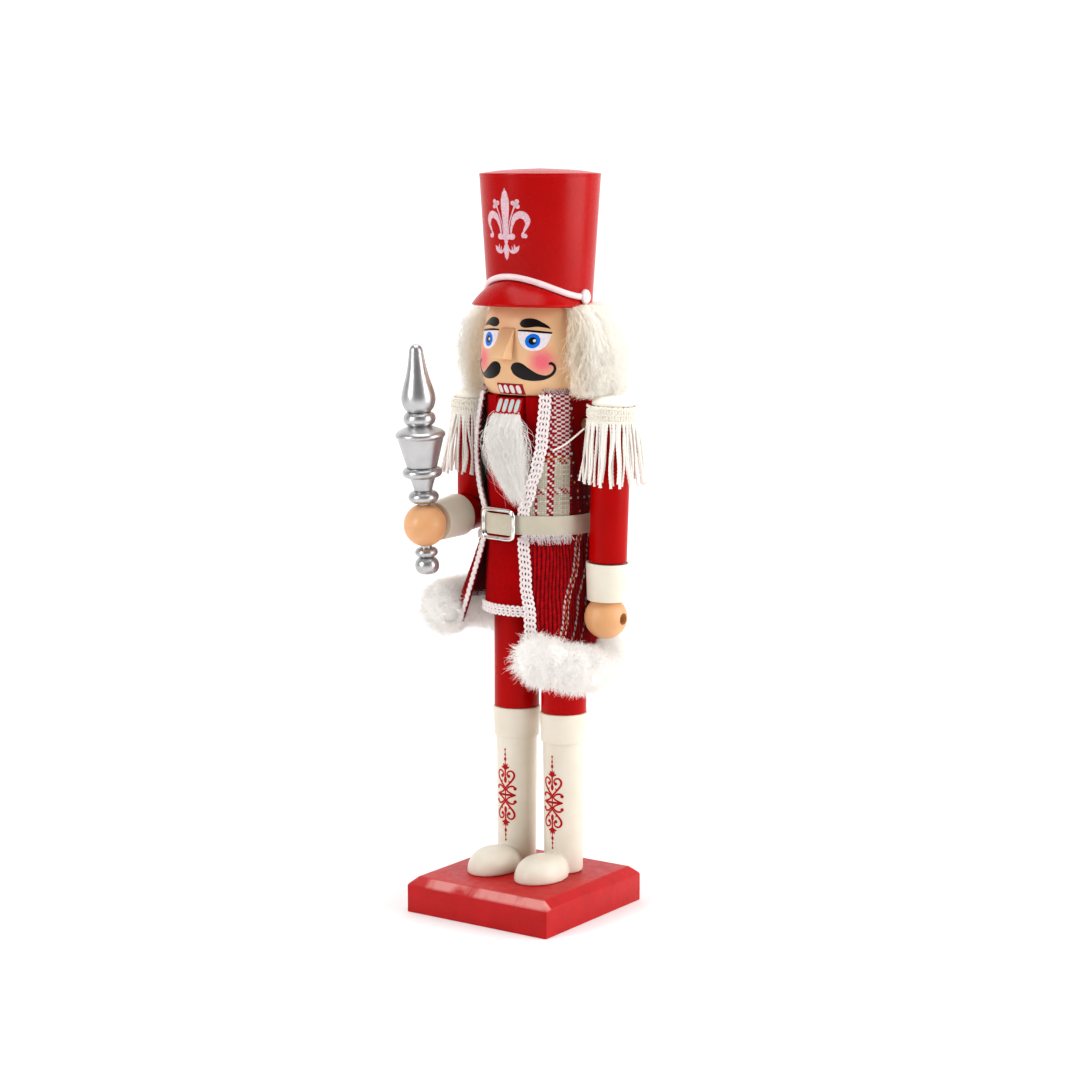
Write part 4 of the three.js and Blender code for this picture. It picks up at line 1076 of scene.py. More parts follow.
def shoulder_fringe(side, outward, start, matrix, body):
    """Two-ply cords that hang from the band and splay on the arm's outer side."""
    rng = np.random.default_rng(21 + outward)
    paths, sizes = [], []
    count, steps, sides = 60, 34, 8
    t = np.linspace(0, 1, steps)
    for i in range(count):
        azimuth = start + 2 + (AROUND_SHOULDER - 4) * (i + rng.uniform(0.2, 0.8)) / count
        away = max(0.0, math.cos(math.radians(azimuth - outward * 90)) + 0.35) / 1.35
        length = rng.uniform(29.5, 32.5)
        splay = rng.normal(0, 1.1) + (1.6 + 4.6 * away) * rng.uniform(0.7, 1.1)
        drift = rng.normal(0, 5.5)
        bow = rng.normal(0, 0.6)
        r = 12.5 + splay * t**1.25 + bow * np.sin(math.pi * t)
        swing = drift * t + rng.normal(0, 1.6) * np.sin(2.2 * math.pi * t)
        paths.append(polar(r, azimuth + swing, 3.0 - length * t))
        sizes.append(rng.uniform(0.5, 0.66))
    knotted = np.where(t > 0.97, 1.25, 1.0)[None]
    cords = tubes(np.stack(paths), np.array(sizes)[:, None] * knotted, sides, (0, 1, 0), ply=0.22, turns=9)
    tone = np.array((0.96, 0.92, 0.86)) * rng.uniform(0.9, 1.03, (count, 1))
    build(f"shoulder_fringe_{side}", cords, COTTON, body,
          [f"epaulette_fringe_{side}"], np.repeat(tone, steps * sides, 0), at=matrix)


def epaulettes():
    """A felt pad, a looped band and a fringe on each shoulder, and one cord that has come loose."""
    for side, outward, matrix in (("left", 1, LEFT_ARM), ("right", -1, RIGHT_ARM)):
        body = f"{side}_arm"
        start = outward * 90 - AROUND_SHOULDER / 2
        shoulder_pad(side, matrix, body)
        shoulder_band(side, start, matrix, body)
        shoulder_fringe(side, outward, start, matrix, body)
    path = curve([(34, -10.5, 251), (31.8, -15, 247.5), (28.6, -20.5, 243.2), (24.6, -24.6, 240.6)], 40)
    cord = tubes(path[None], 0.5, 8, ply=0.2, turns=7)
    build("stray_fringe_cord", cord, COTTON, "left_arm", (), (0.88, 0.84, 0.75))


# ---------------- tunic, coat and belt
SLOT_HALF, SLOT_FLOOR = 8.6, 226
WAIST, COLLAR, BELT_LOW, BELT_TOP = 202, 268.6, 197, 207
LEFT_EDGE = [(208, 17), (220, 24), (232, 30.6), (244, 34.6), (268, 38)]
RIGHT_EDGE = [(208, 34), (222, 40), (240, 42), (268, 42)]


def tunic_flare(azimuth, z):
    front = np.cos(np.radians(azimuth))
    return front**2 * np.where(front > 0, 2.6, 2.0) * np.maximum(0, 195 - z) / 39.6


def tunic():
    azimuth = np.linspace(0, 360, 300, endpoint=False)[:, None]
    z = np.linspace(155.4, 266.4, 190)[None]
    folds = ripple(np.radians(azimuth) * 5, z * 0.02, seed=5) * 0.22 * np.clip((196 - z) / 30, 0, 1)
    chest = ripple(np.radians(azimuth) * 9, z * 0.12, seed=6) * 0.12
    r = 27.45 + tunic_flare(azimuth, z) + folds + chest
    keep = ~((np.abs(r * np.sin(np.radians(azimuth))) < SLOT_HALF) & (z > SLOT_FLOOR + 1))
    felt_body = slab(polar(r, azimuth, z), polar(r - 0.75, azimuth, z), True, keep)
    cloth = build("felt_tunic", felt_body, FELT, "figure", ["tunic"])
    angle = np.linspace(-50, 50, 120)
    route = polar(27.9 + tunic_flare(angle, 158.2), angle, 158.2)
    upright = np.tile((0, 0, 1.0), (120, 1))
    hem = [gimp("tunic_hem_loops", route, polar(1, angle, 0), upright, ["tunic_hem_braid"], 4.8, 2.7)]


def bodice_radius(azimuth, z):
    from_front = np.abs((azimuth + 180) % 360 - 180)
    chest = np.sin(np.pi * (z - BELT_TOP) / (COLLAR - BELT_TOP))
    return 29 + 3.6 * np.maximum(0, chest) * eased(from_front, [(42, 1), (72, 0)])


PITCH = 1.15  # of the coat's yarns
DARK_RED = np.array((0.13, 0.001, 0.005))
BRIGHT_RED = np.array((0.40, 0.002, 0.010))
CHALK = np.array((0.86, 0.78, 0.77))
LINEN = np.array((0.64, 0.58, 0.47))
GOLD = np.array((0.62, 0.42, 0.10))


def either(choice, a, b):
    return np.where(choice[..., None], a, b)


def check_colours(s, z, warp, weft):
    """The yarn colours of the check: red and white basket above, linen squares with red chains below, with
    painted shade that darkens each yarn where it dips.
    """
    up, across = np.floor(z / PITCH), np.floor(s / PITCH)
    uneven = np.random.default_rng(23).uniform(0.72, 1.12, (2, 400))
    warp_tone = uneven[0][np.mod(across, 400).astype(int)][..., None]
    weft_tone = uneven[1][np.mod(up, 400).astype(int)][..., None]
    shoulder = z > 236
    brick = np.mod(up + np.floor(across / 2), 2) == 0
    column = np.mod(across, 7) == 3
    warp_colour = either(shoulder, either(column | brick, BRIGHT_RED, CHALK), LINEN * warp_tone)
    weft_colour = either(shoulder, either(brick, BRIGHT_RED, CHALK), LINEN * 1.1 * weft_tone)
    chain = (np.abs(np.abs(s) - 22.4) < 1.7) | (np.abs(np.abs(s) - 15.4) < 0.8)
    band = (np.abs(z - 234.6) < 1.2) | (np.abs(z - 219.6) < 1.6) | (np.abs(z - 204) < 1.2)
    stitch = np.mod(up + across, 3) == 0
    warp_colour = either(chain, either(stitch, CHALK, BRIGHT_RED), warp_colour)
    weft_colour = either(band, either(stitch, CHALK, BRIGHT_RED), weft_colour)
    weft_colour = either(chain & ~band, either(stitch, CHALK, BRIGHT_RED * 0.8), weft_colour)
    side = np.abs(s) > 33
    dash = np.mod(up, 5) == 2
    lines = either(np.mod(across, 4) == 1, either(dash, CHALK * 0.8, BRIGHT_RED), DARK_RED)
    warp_colour = either(side, lines, warp_colour)
    glint = (np.mod(across * 7 + up * 13, 37) < 1.5) & side
    weft_colour = either(side, either(glint, GOLD, DARK_RED * 1.4), weft_colour)
    gold_line = (np.abs(z - 236.4) < 0.6) & ~side & (np.mod(across, 2) == 0)
    weft_colour = either(gold_line, GOLD, weft_colour)
    # painted shade: each yarn is darker where it dips between the others
    height = np.clip(np.maximum(warp, weft) / 0.37, 0, 1)[..., None]
    return either(warp > weft, warp_colour, weft_colour) * (0.5 + 0.5 * height)


def weave(s, z, pitch=PITCH, deep=0.2):
    """Heights of the warp and weft of a plain weave at s across and z up."""
    i, j = np.floor(s / pitch), np.floor(z / pitch)
    x, y = 2 * (s / pitch - i) - 1, 2 * (z / pitch - j) - 1
    warp = deep * (1 - x * x) + 0.17 * np.cos(math.pi * (z / pitch - 0.5) + math.pi * i)
    weft = deep * (1 - y * y) + 0.17 * np.cos(math.pi * (s / pitch - 0.5) + math.pi * (j + 1))
    return warp, weft


def armhole(azimuth, y, z, r):
    """Inside either armhole: a slot with a round bottom, seen from the side."""
    at_side = np.abs(r * np.sin(np.radians(azimuth))) > 15
    low = 250 - 28 * np.sqrt(np.maximum(0, 1 - (y / 10.2) ** 2))
    return at_side & (np.abs(y) < 10.2) & (z > low)


def bodice():
    u = np.linspace(0, 1, 500)[:, None]
    v = np.linspace(0, 1, 176)[None]
    z = WAIST + 0.6 + (COLLAR - WAIST - 0.6) * v + 0 * u
    left = eased(z, LEFT_EDGE)
    azimuth = left + (360 - eased(z, RIGHT_EDGE) - left) * u
    back = eased(np.minimum(azimuth, 360 - azimuth), [(42, 0), (125, 4.4)])
    z = z - back * v
    r = bodice_radius(azimuth, z)
    s = np.where(azimuth < 180, np.radians(azimuth) * 29, -np.radians(360 - azimuth) * 29)
    rows = z + back * v
    warp, weft = weave(s, rows)
    relief = np.maximum(warp, weft)
    sag = ripple(s * 0.1, rows * 0.1, seed=9) * 0.25 * np.clip((rows - 209) / 8, 0, 1)
    y = -r * np.cos(np.radians(azimuth))
    lever_gap = (np.abs(r * np.sin(np.radians(azimuth))) < 9.4) & (y > 0) & (z > 234)
    keep = ~(armhole(azimuth, y, z, r) | lever_gap)
    outer = polar(r + sag + relief - 0.1, azimuth, z)
    inner = polar(r - 1.1 + sag * 0.4, azimuth, z)
    colours = check_colours(s, rows, warp, weft).reshape(-1, 3)
    # The inner face takes the check colours at 0.6 of their brightness, as painted shade.
    piece = build("coat_bodice_weave", slab(outer, inner, False, keep), YARN, "figure",
                  ["coat_bodice"], np.concatenate([colours, colours * 0.6]))
    trim = [frayed_edge()]
    for side, way in SIDES:
        table = LEFT_EDGE if side == "left" else RIGHT_EDGE
        height = np.linspace(BELT_TOP + 0.3, COLLAR - 0.5, 150)
        edge = way * (eased(height, table) + 1.4)
        route = polar(bodice_radius(edge, height) + 0.35, edge, height)
        beside = polar(1, edge + 90, 0)
        outward = polar(1, edge, 0)
        trim.append(gimp(f"bodice_edge_{side}", route, outward, beside, [f"bodice_braid_{side}"]))


def frayed_edge():
    """Loose white weft ends below the belt and along the collar."""
    rng = np.random.default_rng(31)
    t = np.linspace(0, 1, 6)
    paths, tones = [], []
    for azimuth in np.concatenate([rng.uniform(18, 66, 170), rng.uniform(-60, -36, 60)]):
        length = rng.uniform(1.5, 5.5)
        r = 30.1 + 1.6 * t + rng.normal(0, 0.5) * t
        paths.append(polar(r, azimuth + rng.normal(0, 2.4) * t, 197.6 - length * t))
        tones.append(CHALK * rng.uniform(0.85, 1.05))
    for azimuth in np.concatenate([rng.uniform(36, 78, 150), rng.uniform(-80, -42, 90)]):
        length = rng.uniform(0.8, 3.4)
        r = 28.6 + rng.normal(0, 0.8) * t
        paths.append(polar(r, azimuth + rng.normal(0, 3) * t, COLLAR - 0.8 + length * t))
        tones.append(CHALK if rng.random() < 0.7 else BRIGHT_RED)
    points, faces = tubes(np.stack(paths), 0.2 * (1 - 0.4 * t)[None], 4, (0.3, 0.9, 0.1))
    tint = np.repeat(np.array(tones), len(t) * 4, 0)
    return build("frayed_weave_ends", (points, faces), YARN, "figure", (), tint)


# The fur trim and the hem inside it, as (azimuth, millimetres)
FUR_RADIUS = [(18, 37), (47, 39.5), (72, 39.5), (90, 37), (135, 34), (180, 39), (225, 45), (270, 50),
              (300, 50), (315, 47)]
FUR_HEIGHT = [(18, 136), (40, 135), (58, 131), (72, 129.3), (90, 129), (135, 131.5), (180, 138), (225, 146),
              (270, 155), (300, 156), (315, 153)]
FUR_SIZE = [(18, 11), (30, 13.8), (58, 13.1), (90, 11), (135, 11), (180, 12.5), (300, 13.6), (315, 10)]
HEM_RADIUS = [(18, 33.2), (47, 33), (72, 29.2), (108, 29.2), (150, 33), (180, 35), (225, 38), (270, 40),
              (316, 41.2)]


def hem_height(azimuth):
    """Where the skirt's cloth goes into the fur."""
    size = eased(azimuth, FUR_SIZE) * 0.8
    apart = np.abs(eased(azimuth, FUR_RADIUS) - eased(azimuth, HEM_RADIUS))
    inset = np.minimum(size * 0.98, apart)
    return eased(azimuth, FUR_HEIGHT) + np.sqrt(size**2 - inset**2) - 1


def skirt_surface(u, v):
    """(azimuth, radius, z) on the coat's skirt: u runs round from its left edge, v up from its hem."""
    tuck = BELT_LOW - 0.7
    rough = np.where(v < 0.8, 150 + (tuck - 150) * v / 0.8, tuck + (WAIST - tuck) * (v - 0.8) / 0.2)
    left = eased(rough, [(148, 25.5), (160, 24.5), (177, 20), (196, 17)])
    right = eased(rough, [(148, 44), (165, 42), (196, 37)])
    azimuth = left + (360 - right - left) * u
    hem = hem_height(azimuth) - 8 * np.clip((azimuth - 309) / 6, 0, 1)  # the right flap ends in a point
    z = np.where(v < 0.8, hem + (tuck - hem) * v / 0.8, tuck + (WAIST - tuck) * (v - 0.8) / 0.2)
    spread = np.maximum(0, (tuck - z) / (tuck - hem)) ** 1.15
    return azimuth, 29 + (eased(azimuth, HEM_RADIUS) - 29) * spread, z


def skirt():
    u = np.linspace(0, 1, 620)[:, None]
    v = np.linspace(0, 1, 120)[None]
    azimuth, r, z = skirt_surface(u, v)
    s = np.radians(azimuth) * 31
    rib = 2.0
    wander = 0.5 * ripple(s * 0.25, z * 0.12, seed=12)
    ribs = np.abs(np.cos(math.pi * (s + wander) / rib))
    tufts = ripple(s * 2.6, z * 2.2, 12, seed=13)
    ease = np.clip((BELT_LOW - z) / 6, 0, 1)
    relief = (0.62 * ribs**0.7 + 0.13 * tufts) * ease
    folds = 0.35 * ripple(np.radians(azimuth) * 6, z * 0.03, seed=14) * ease
    # painted shade and highlight: rib valleys painted dark red, rib crests bright red, following the ribs'
    # relief
    painted_light = np.clip(ribs**1.3 * 0.85 + 0.2 * tufts, 0, 1)
    colour = DARK_RED * 0.9 * (1 - painted_light[..., None]) + np.array((0.66, 0.0015, 0.009)) * painted_light[..., None]
    from_front = np.minimum(azimuth, 360 - azimuth)
    stripe = from_front - 54 - (z - 150) * 0.5 - 1.5 * np.sin(z * 0.22)
    broken = np.sin(z * 2.4 + stripe * 1.3) > -0.35
    for offset, half in ((0, 1.2), (5.5, 0.8), (17, 1.3), (29, 0.9)):
        colour = either((np.abs(stripe - offset) < half) & broken, CHALK, colour)
    colour = either((np.abs(stripe - 2.9) < 0.6) & (np.sin(z * 1.7) > 0.4), GOLD, colour)
    colour = either((stripe > 7) & (from_front < 150), colour * 0.75, colour)
    outer = polar(r + relief + folds - 0.2, azimuth, z)
    inner = polar(r - 1.1 + folds * 0.5, azimuth, z)
    lining = np.broadcast_to(DARK_RED * 1.3, colour.shape)
    tint = np.concatenate([colour.reshape(-1, 3), lining.reshape(-1, 3)])
    piece = build("coat_skirt_chenille", slab(outer, inner), CHENILLE, "figure",
                  ["coat_skirt"], tint)
    trim = [chenille_pile()]
    for side, _ in SIDES:
        v = np.linspace(0.02, 0.79, 130)
        u = 0.004 if side == "left" else 0.996
        azimuth, r, z = skirt_surface(u, v)
        route = polar(r + 0.5, azimuth, z)
        outward, beside = polar(1, azimuth, 0), polar(1, azimuth + 90, 0)
        trim.append(gimp(f"skirt_edge_{side}", route, outward, beside, [f"skirt_braid_{side}"]))


def chenille_pile():
    """Short loose fibres that stand off the ribs."""
    rng = np.random.default_rng(41)
    count = 9000
    azimuth, r, z = skirt_surface(rng.uniform(0.01, 0.99, count), rng.uniform(0.0, 0.77, count))
    root = polar(r + 0.3, azimuth, z)
    way = polar(1, azimuth + rng.normal(0, 28, count), 0)
    way[:, 2] += rng.normal(-0.2, 0.7, count)
    t = np.linspace(0, 1, 3)[None, :, None]
    paths = root[:, None] + way[:, None] * t * rng.uniform(0.5, 1.3, (count, 1, 1))
    points, faces = tubes(paths, 0.075 * (1 - 0.6 * t[..., 0]), 3, (0.3, 0.2, 0.9))
    tone = np.where(rng.random((count, 1)) < 0.5, BRIGHT_RED * 1.1, BRIGHT_RED * 0.6)
    tint = np.repeat(tone, len(points) // count, 0)
    return build("chenille_pile", (points, faces), CHENILLE, "figure", (), tint)


def belt():
    azimuth = np.linspace(0, 360, 260, endpoint=False)[:, None]
    cross = fillet([(29.25, BELT_LOW + 0.1), (30.1, BELT_LOW), (30.35, BELT_LOW + 0.8), (30.4, WAIST),
                    (30.35, BELT_TOP - 0.8), (30.1, BELT_TOP), (29.25, BELT_TOP - 0.1)], 0.4)
    dip = 0.18 * ripple(np.radians(azimuth) * 3, 0 * azimuth, seed=17)
    strap = polar(cross[None, :, 0] + 0.1 * dip, azimuth, cross[None, :, 1] + dip)
    back = strap[:, [0, -1]]
    sides = [(rows.reshape(-1, 3), [lattice(260, rows.shape[1], True)]) for rows in (strap, back)]
    build("waist_belt", sides, VINYL, "figure", ["belt"])
    buckle()


def buckle():
    """A bent wire frame with a thinner one inside it, over the belt's keeper."""
    turn = Matrix.Rotation(math.radians(-8.5), 4, "Z")
    corners = curve([(-10.6, 0), (-10.5, 5.2), (-8.2, 7.3), (0, 7.5), (8.2, 7.3), (10.5, 5.2), (10.6, 0),
                     (10.5, -5.2), (8.2, -7.3), (0, -7.5), (-8.2, -7.3), (-10.5, -5.2)],
                    120, closed=True)[:-1]
    loops = []
    for scale, depth, thick in ((1.0, -31.1, 0.85), (0.9, -31.0, 0.5)):
        x, z = corners.T * scale
        line = np.stack([x, np.full(len(x), depth), z + WAIST], -1)
        line = np.vstack([line, line[:1]])
        loops.append(tubes(move(turn, line)[None], thick, 10, (0, 1, 0)))
    build("buckle_frame", loops, CHROME, "figure", ["belt_buckle"])
    x = np.linspace(-8.4, 8.4, 40)[:, None]
    z = np.linspace(-5.3, 5.3, 26)[None]
    bulge = 0.55 * np.sqrt(np.clip(1 - (x / 8.8) ** 4, 0, 1)) * np.sqrt(np.clip(1 - (z / 5.8) ** 4, 0, 1))
    face = np.stack(np.broadcast_arrays(x, -30.5 - bulge, z + WAIST), -1)
    rear = np.stack(np.broadcast_arrays(x, -30.2, z + WAIST), -1)
    build("belt_keeper", slab(face, rear), VINYL, "figure", at=turn)


# ---------------- hair, beard and fur
def clumped(paths, share, pull, rng):
    """Draws each strand towards one in share others near its root, more so at its tip."""
    n, k = paths.shape[:2]
    heads = rng.choice(n, max(1, n // share), replace=False)
    nearest = np.empty(n, int)
    for start in range(0, n, 2000):
        d = np.linalg.norm(paths[start:start + 2000, None, 0] - paths[None, heads, 0], axis=2)
        nearest[start:start + 2000] = heads[d.argmin(1)]
    t = np.linspace(0, 1, k)[None, :, None] ** 1.3
    return paths + pull * t * (paths[nearest] - paths)


def wavy(paths, size, turns, rng):
    """Gives each strand its own waves, wider towards its tip."""
    n, k = paths.shape[:2]
    t = np.linspace(0, 1, k)[None, :, None]
    phase = rng.uniform(0, 2 * math.pi, (n, 1, 3))
    f = turns * rng.uniform(0.6, 1.4, (n, 1, 3))
    return paths + size * t * np.sin(2 * math.pi * f * t + phase)


def strands(name, paths, thick, material, body, replaces=(), tone=(0.95, 0.93, 0.90)):
    """Fine three-sided hairs that taper to their tips."""
    n, k = paths.shape[:2]
    taper = thick * (1 - 0.72 * np.linspace(0, 1, k) ** 1.5)[None]
    tint = np.repeat(np.broadcast_to(np.asarray(tone, float), (n, 3)), k * 3, 0)
    return build(name, tubes(paths, taper, 3, (0.37, 0.21, 0.9)), material, body, replaces, tint)


# How far the hair stands out, as (height, radius)
HAIR_REACH = [(264, 43), (272, 46), (290, 47), (302, 45.5), (309, 42), (314, 37)]
HAIR_FROM = 64  # the hair's front edge beside either cheek
HAIR_LOW, HAIR_SPAN = 268, 43.5  # the lowest roots, and how far up they go


def hair():
    """Loose locks glued round the head from cheek to cheek, standing out and falling to the shoulders."""
    rng = np.random.default_rng(51)
    count, k = 16500, 9
    t = np.linspace(0, 1, k)[None]
    azimuth = rng.uniform(HAIR_FROM, 360 - HAIR_FROM, count)
    root_z = HAIR_LOW + HAIR_SPAN * rng.random(count) ** 0.8
    from_edge = np.minimum(azimuth, 360 - azimuth) - HAIR_FROM
    side = np.clip(from_edge / 13, 0, 1) ** 0.7
    fullness = rng.uniform(0.12, 1.0, count) ** 0.6
    fall = (6 + 30 * rng.random(count) ** 1.2) * (0.4 + 0.6 * (root_z - HAIR_LOW) / 43)
    lift = np.where(root_z > 304, rng.uniform(0, 3.5, count), 0)
    z = root_z[:, None] + lift[:, None] * np.sin(np.pi * np.minimum(1, 1.4 * t)) - fall[:, None] * t**1.7
    z = np.maximum(z, 266 + 3 * rng.random((count, 1)))
    out = (eased(z, HAIR_REACH) - head_radius(root_z)[:, None]) * (fullness * (0.25 + 0.75 * side))[:, None]
    r = head_radius(root_z)[:, None] + 0.1 + out * np.sin(0.5 * np.pi * np.minimum(1, 1.5 * t)) ** 0.9
    turn = azimuth[:, None] + rng.normal(0, 7, (count, 1)) * t
    paths = wavy(clumped(polar(r, turn, z), 30, 0.5, rng), 2.0, 1.6, rng)
    paths[:, 0] = polar(head_radius(root_z), azimuth, root_z)
    # painted shade: strands that lie close to the head, and those along the face's edge, turn to a darker
    # gold
    cream, shaded_gold = np.array((0.95, 0.925, 0.865)), np.array((0.78, 0.62, 0.42))
    deep = np.clip(1.15 - fullness * 1.3 + 0.5 * (from_edge < 7), 0, 1)[:, None] * 0.75
    tone = cream * (1 - deep) + shaded_gold * deep
    left = azimuth < 180
    strands("hair_locks_left", paths[left], 0.13, HAIR, "figure", ["hair"], tone[left])
    strands("hair_locks_right", paths[~left], 0.13, HAIR, "figure", (), tone[~left])

    # The underfur takes a quarter of that darker gold, as painted shade under the locks.
    underfur(cream * 0.75 + shaded_gold * 0.25)


def underfur(tint):
    """The dense lumpy fur under the loose locks."""
    azimuth = np.linspace(HAIR_FROM + 2, 358 - HAIR_FROM, 170)[:, None]
    z = np.linspace(268.5, 311.5, 44)[None]
    edge = np.clip((np.minimum(azimuth, 360 - azimuth) - HAIR_FROM) / 22, 0, 1) ** 0.8
    close = np.sin(np.pi * np.clip((z - 262) / 54, 0, 1)) ** 0.5
    puff = (eased(z, HAIR_REACH) - head_radius(z)) * 0.52 * edge * close + 0.6
    lumps = ripple(np.radians(azimuth) * 16, z * 0.35, 10, seed=52) * 1.1 * edge
    shell = slab(polar(head_radius(z) + puff + lumps, azimuth, z), polar(head_radius(z) + 0.1, azimuth, z))
    build("hair_underfur", shell, HAIR, "figure", (), tint, crease=80)


def beard():
    """A tuft glued under the lower teeth, hanging to the belt in a point."""
    rng = np.random.default_rng(61)
    count, k = 5600, 12
    t = np.linspace(0, 1, k)[None]
    x0 = rng.uniform(-7.4, 7.4, count)
    drop = rng.random(count)
    z0 = 260 - 17 * drop
    y0 = np.where(z0 > 258.5, -26.2 - 3.4 * (266 - z0) / 7.5, -29.6) + 0.4
    spread = x0 / 7.4 + rng.normal(0, 0.22, count)
    stray = rng.random(count) < 0.09
    spread = np.where(stray, spread * 1.5 + rng.normal(0, 0.35, count), spread)
    tip_z = rng.uniform(209, 238, count) - 2 * np.abs(spread) + 6 * drop
    tip_z = np.where(np.abs(spread) > 0.9, tip_z + rng.uniform(0, 12, count), tip_z)
    lean = 11.5 * ((258 - tip_z) / 50)
    tip_x = spread * 7.6 * np.clip((tip_z - 203) / 26, 0.12, 1) + lean - 2.2
    belly_x = spread * 11.2 - 0.8
    x = x0[:, None] * (1 - t) ** 2 + 2 * t * (1 - t) * belly_x[:, None] + t**2 * tip_x[:, None]
    z = z0[:, None] + (tip_z - z0)[:, None] * (0.55 * t + 0.45 * t**2)
    front = rng.uniform(0.0, 5.8, count)[:, None]
    cling = np.sqrt(np.maximum(0, 33.2**2 - x**2))
    swell = np.sin(np.pi * np.clip(t * 0.9 + 0.08, 0, 1))
    y = y0[:, None] * (1 - t) ** 2 - (1 - (1 - t) ** 2) * (cling - 1.2 + front * swell)
    paths = np.stack([x, y, z], -1)
    paths = wavy(clumped(paths, 34, 0.6, rng), np.where(stray, 2.6, 1.3)[:, None, None], 1.5, rng)
    piece = strands("chin_beard", paths, 0.12, FUR, None, ["beard"])
    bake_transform(piece)


def fur_ring(azimuth, angle, share):
    """A point in the fur trim's round section, share of the way from its middle to its skin."""
    a = np.radians(angle)
    size = eased(azimuth, FUR_SIZE) * np.clip(0.55 + np.minimum(azimuth - 18, 315 - azimuth) / 12, 0.55, 1)
    return polar(eased(azimuth, FUR_RADIUS) + size * share * np.cos(a), azimuth,
                 eased(azimuth, FUR_HEIGHT) + size * share * np.sin(a))


def fur_core():
    """The trim's dense middle: a closed lumpy tube."""
    rows, sides = 200, 32
    azimuth = np.linspace(18, 315, rows)[:, None]
    angle = np.linspace(0, 360, sides + 1)[None, :-1]
    lumps = 0.74 + 0.05 * ripple(np.radians(azimuth) * 22, np.radians(angle) * 3, 10, seed=71)
    points = fur_ring(azimuth, angle, lumps).reshape(-1, 3)
    row = np.arange(rows - 1) * sides
    seam = np.stack([row + sides - 1, row + 2 * sides - 1, row + sides, row], -1)
    caps = [np.arange(sides)[None], ((rows - 1) * sides + np.arange(sides))[None, ::-1]]
    faces = [np.concatenate([lattice(rows, sides), seam]), *caps]
    build("fur_trim_core", (points, faces), FUR, "figure", (), (0.93, 0.91, 0.89), crease=80)


def fur_trim():
    """Three lengths of loose fur on the dense core: left front, back and right front."""
    fur_core()
    rng = np.random.default_rng(72)
    lengths = (("left", 16, 130, 11000), ("back", 130, 225, 8200), ("right", 225, 317, 10500))
    for name, low, high, count in lengths:
        azimuth = rng.uniform(low, high, count)
        angle = rng.uniform(0, 360, count)
        lean = rng.normal(0, 16, count)
        reach = rng.uniform(0.98, 1.16, count)
        t = np.linspace(0, 1, 5)[None]
        share = 0.66 + (reach[:, None] - 0.66) * t
        droop = -1.8 * t**2 * rng.uniform(0.2, 1.0, (count, 1))
        ends = np.where(azimuth < 19.5, -1, 0) + np.where(azimuth > 313, 1, 0)
        swing = rng.normal(0, 5, (count, 1)) * t + ends[:, None] * rng.uniform(1, 5, (count, 1)) * t
        root = np.clip(azimuth, 18, 315)[:, None]
        x, y, z = np.moveaxis(fur_ring(root, angle[:, None] + lean[:, None] * t, share), -1, 0)
        cos, sin = np.cos(np.radians(swing)), np.sin(np.radians(swing))
        paths = np.stack([x * cos - y * sin, x * sin + y * cos, z + droop], -1)
        paths = wavy(clumped(paths, 16, 0.4, rng), 0.8, 1.1, rng)
        strands(f"fur_trim_{name}", paths, 0.13, FUR, "figure", ["coat_fur_trim"] if name == "left" else ())


# ---------------- CAD nodes that keep their shape
def keep_cad_shapes():
    finishes = {"torso": RED, "sceptre_rod": STEEL, "jaw_pin": STEEL}
    for side, _ in SIDES:
        finishes[f"base_screw_{side}"] = STEEL
        for peg in ("leg", "neck", "shoulder", "wrist"):
            finishes[f"{peg}_dowel_{side}"] = WOOD
    for node, finish in finishes.items():
        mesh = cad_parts[node].data
        mesh.materials.clear()
        mesh.materials.append(finish)


# ---------------- camera, floor and light
def area_light(name, place_at, aim, size, power):
    """A white rectangular softbox, in metres and watts, turned to face aim."""
    data = bpy.data.lights.new(name, "AREA")
    data.shape, data.energy = "RECTANGLE", power
    data.size, data.size_y = size
    light = bpy.data.objects.new(name, data)
    light.location = place_at
    away = Matrix.Translation(place_at).translation - Matrix.Translation(aim).translation
    light.rotation_euler = away.to_track_quat("Z", "Y").to_euler()
    light.visible_camera = False
    bpy.context.scene.collection.objects.link(light)


def white_cove(world):
    """A white wall behind the figure that grows dimmer towards the camera's side of the room."""
    world.use_nodes = True
    tree = world.node_tree
    where = tree.nodes.new("ShaderNodeTexCoord").outputs["Generated"]
    behind = tree.nodes.new("ShaderNodeVectorMath")
    behind.operation = "DOT_PRODUCT"
    behind.inputs[1].default_value = AWAY_FROM_CAMERA
    level = tree.nodes.new("ShaderNodeMapRange")
    level.interpolation_type = "SMOOTHSTEP"
    for name, value in (("From Min", -0.2), ("From Max", 0.8), ("To Min", 0.14), ("To Max", 1.0)):
        level.inputs[name].default_value = value
    background = tree.nodes["Background"]
    background.inputs["Color"].default_value = (1.0, 0.992, 0.996, 1)
    tree.links.new(where, behind.inputs[0])
    tree.links.new(behind.outputs["Value"], level.inputs["Value"])
    tree.links.new(level.outputs["Result"], background.inputs["Strength"])


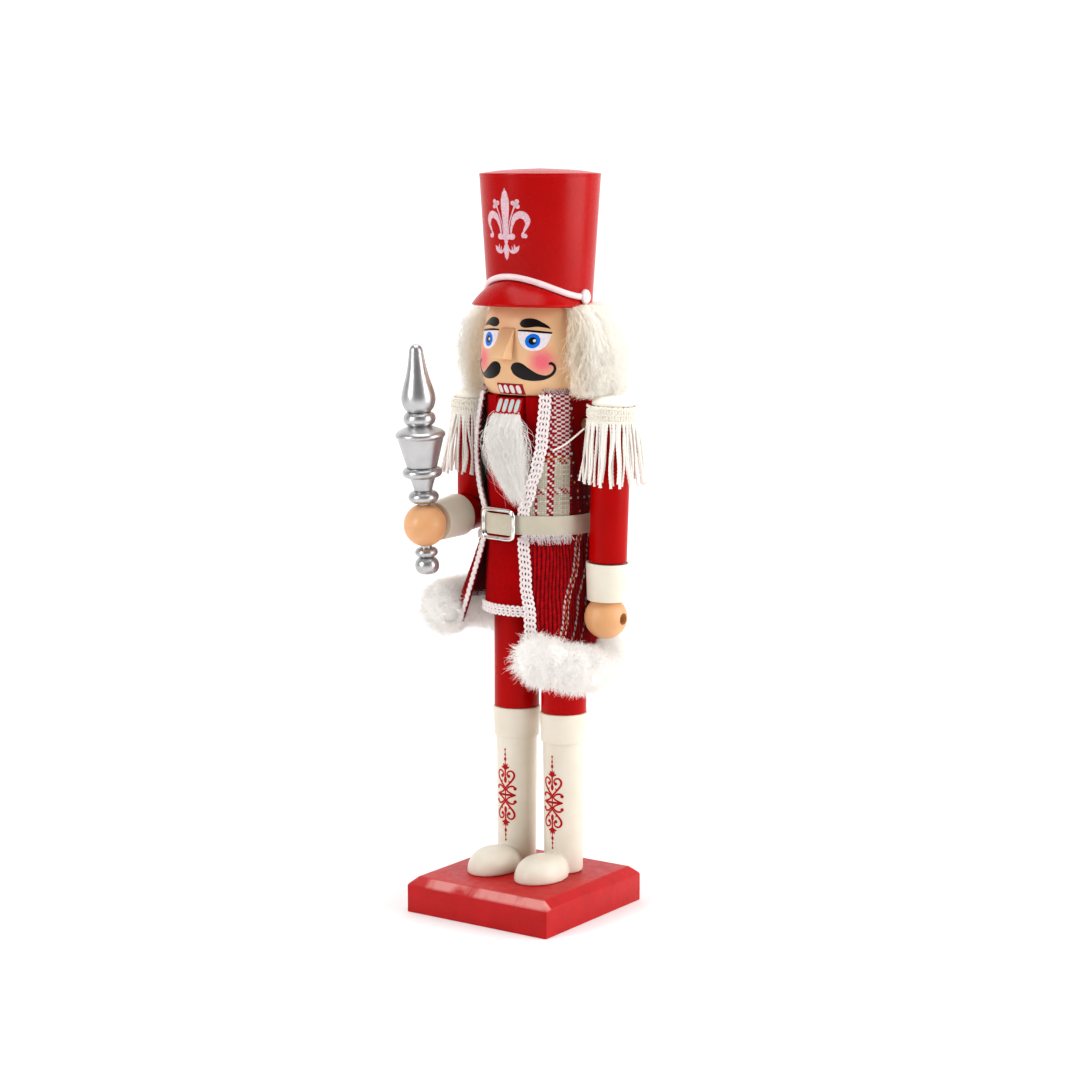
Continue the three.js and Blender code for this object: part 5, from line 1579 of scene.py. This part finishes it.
def camera():
    """A long lens a little above the figure, in front of it and to its left."""
    data = bpy.data.cameras.new("camera")
    data.lens, data.sensor_width, data.clip_start, data.clip_end = 86.91, 36, 0.01, 50
    eye = bpy.data.objects.new("camera", data)
    eye.location = (0.7549, -1.0778, 0.3847)
    eye.rotation_euler = (math.radians(90 - 8.32), 0, CAMERA_AZIMUTH)
    bpy.context.scene.collection.objects.link(eye)
    bpy.context.scene.camera = eye
    bpy.context.scene.view_settings.view_transform = "Standard"
    bpy.context.scene.view_settings.look = "Medium High Contrast"


def paper_floor():
    """White paper that glows more the farther it runs behind the figure."""
    mesh = bpy.data.meshes.new("floor")
    mesh.from_pydata([(-6, -6, 0), (6, -6, 0), (6, 6, 0), (-6, 6, 0)], [], [(0, 1, 2, 3)])
    floor = bpy.data.objects.new("floor", mesh)
    s = Shader("floor_paper", 0.9, Specular_IOR_Level=0.2)
    behind = s.node("VectorMath", "Value", {"operation": "DOT_PRODUCT"}, Vector=s.where)
    behind.node.inputs[1].default_value = AWAY_FROM_CAMERA
    lit = s.node("MapRange", "Result", Value=behind, From_Min=0.1, From_Max=1.6, To_Min=0.1, To_Max=0.62)
    s.set(
        Base_Color=s.wander(6, 3, (0.80, 0.79, 0.79), (0.82, 0.81, 0.81)),
        Emission_Color=(1.0, 0.99, 0.99), Emission_Strength=lit,
    )
    mesh.materials.append(s.material)
    bpy.context.scene.collection.objects.link(floor)


def lights():
    bpy.context.scene.world = bpy.data.worlds.new("world")
    white_cove(bpy.context.scene.world)
    area_light("softbox_front", (-0.60, -1.45, 0.75), (0, 0, 0.20), (0.5, 0.9), 11)
    area_light("softbox_right", (1.40, 0.50, 0.55), (0, 0, 0.22), (1.2, 1.3), 19)
    area_light("softbox_top", (0.10, -0.10, 1.70), (0, 0, 0.20), (1.2, 1.2), 14)


camera()
paper_floor()
lights()
keep_cad_shapes()
square_base()
legs()
head()
painted_face()
hat()
rounded_copy("jaw_lever", "jaw_block", RED, "jaw", 0.6)
lower_teeth()
left_arm()
right_arm()
sceptre()
epaulettes()
tunic()
bodice()
skirt()
belt()
hair()
beard()
fur_trim()
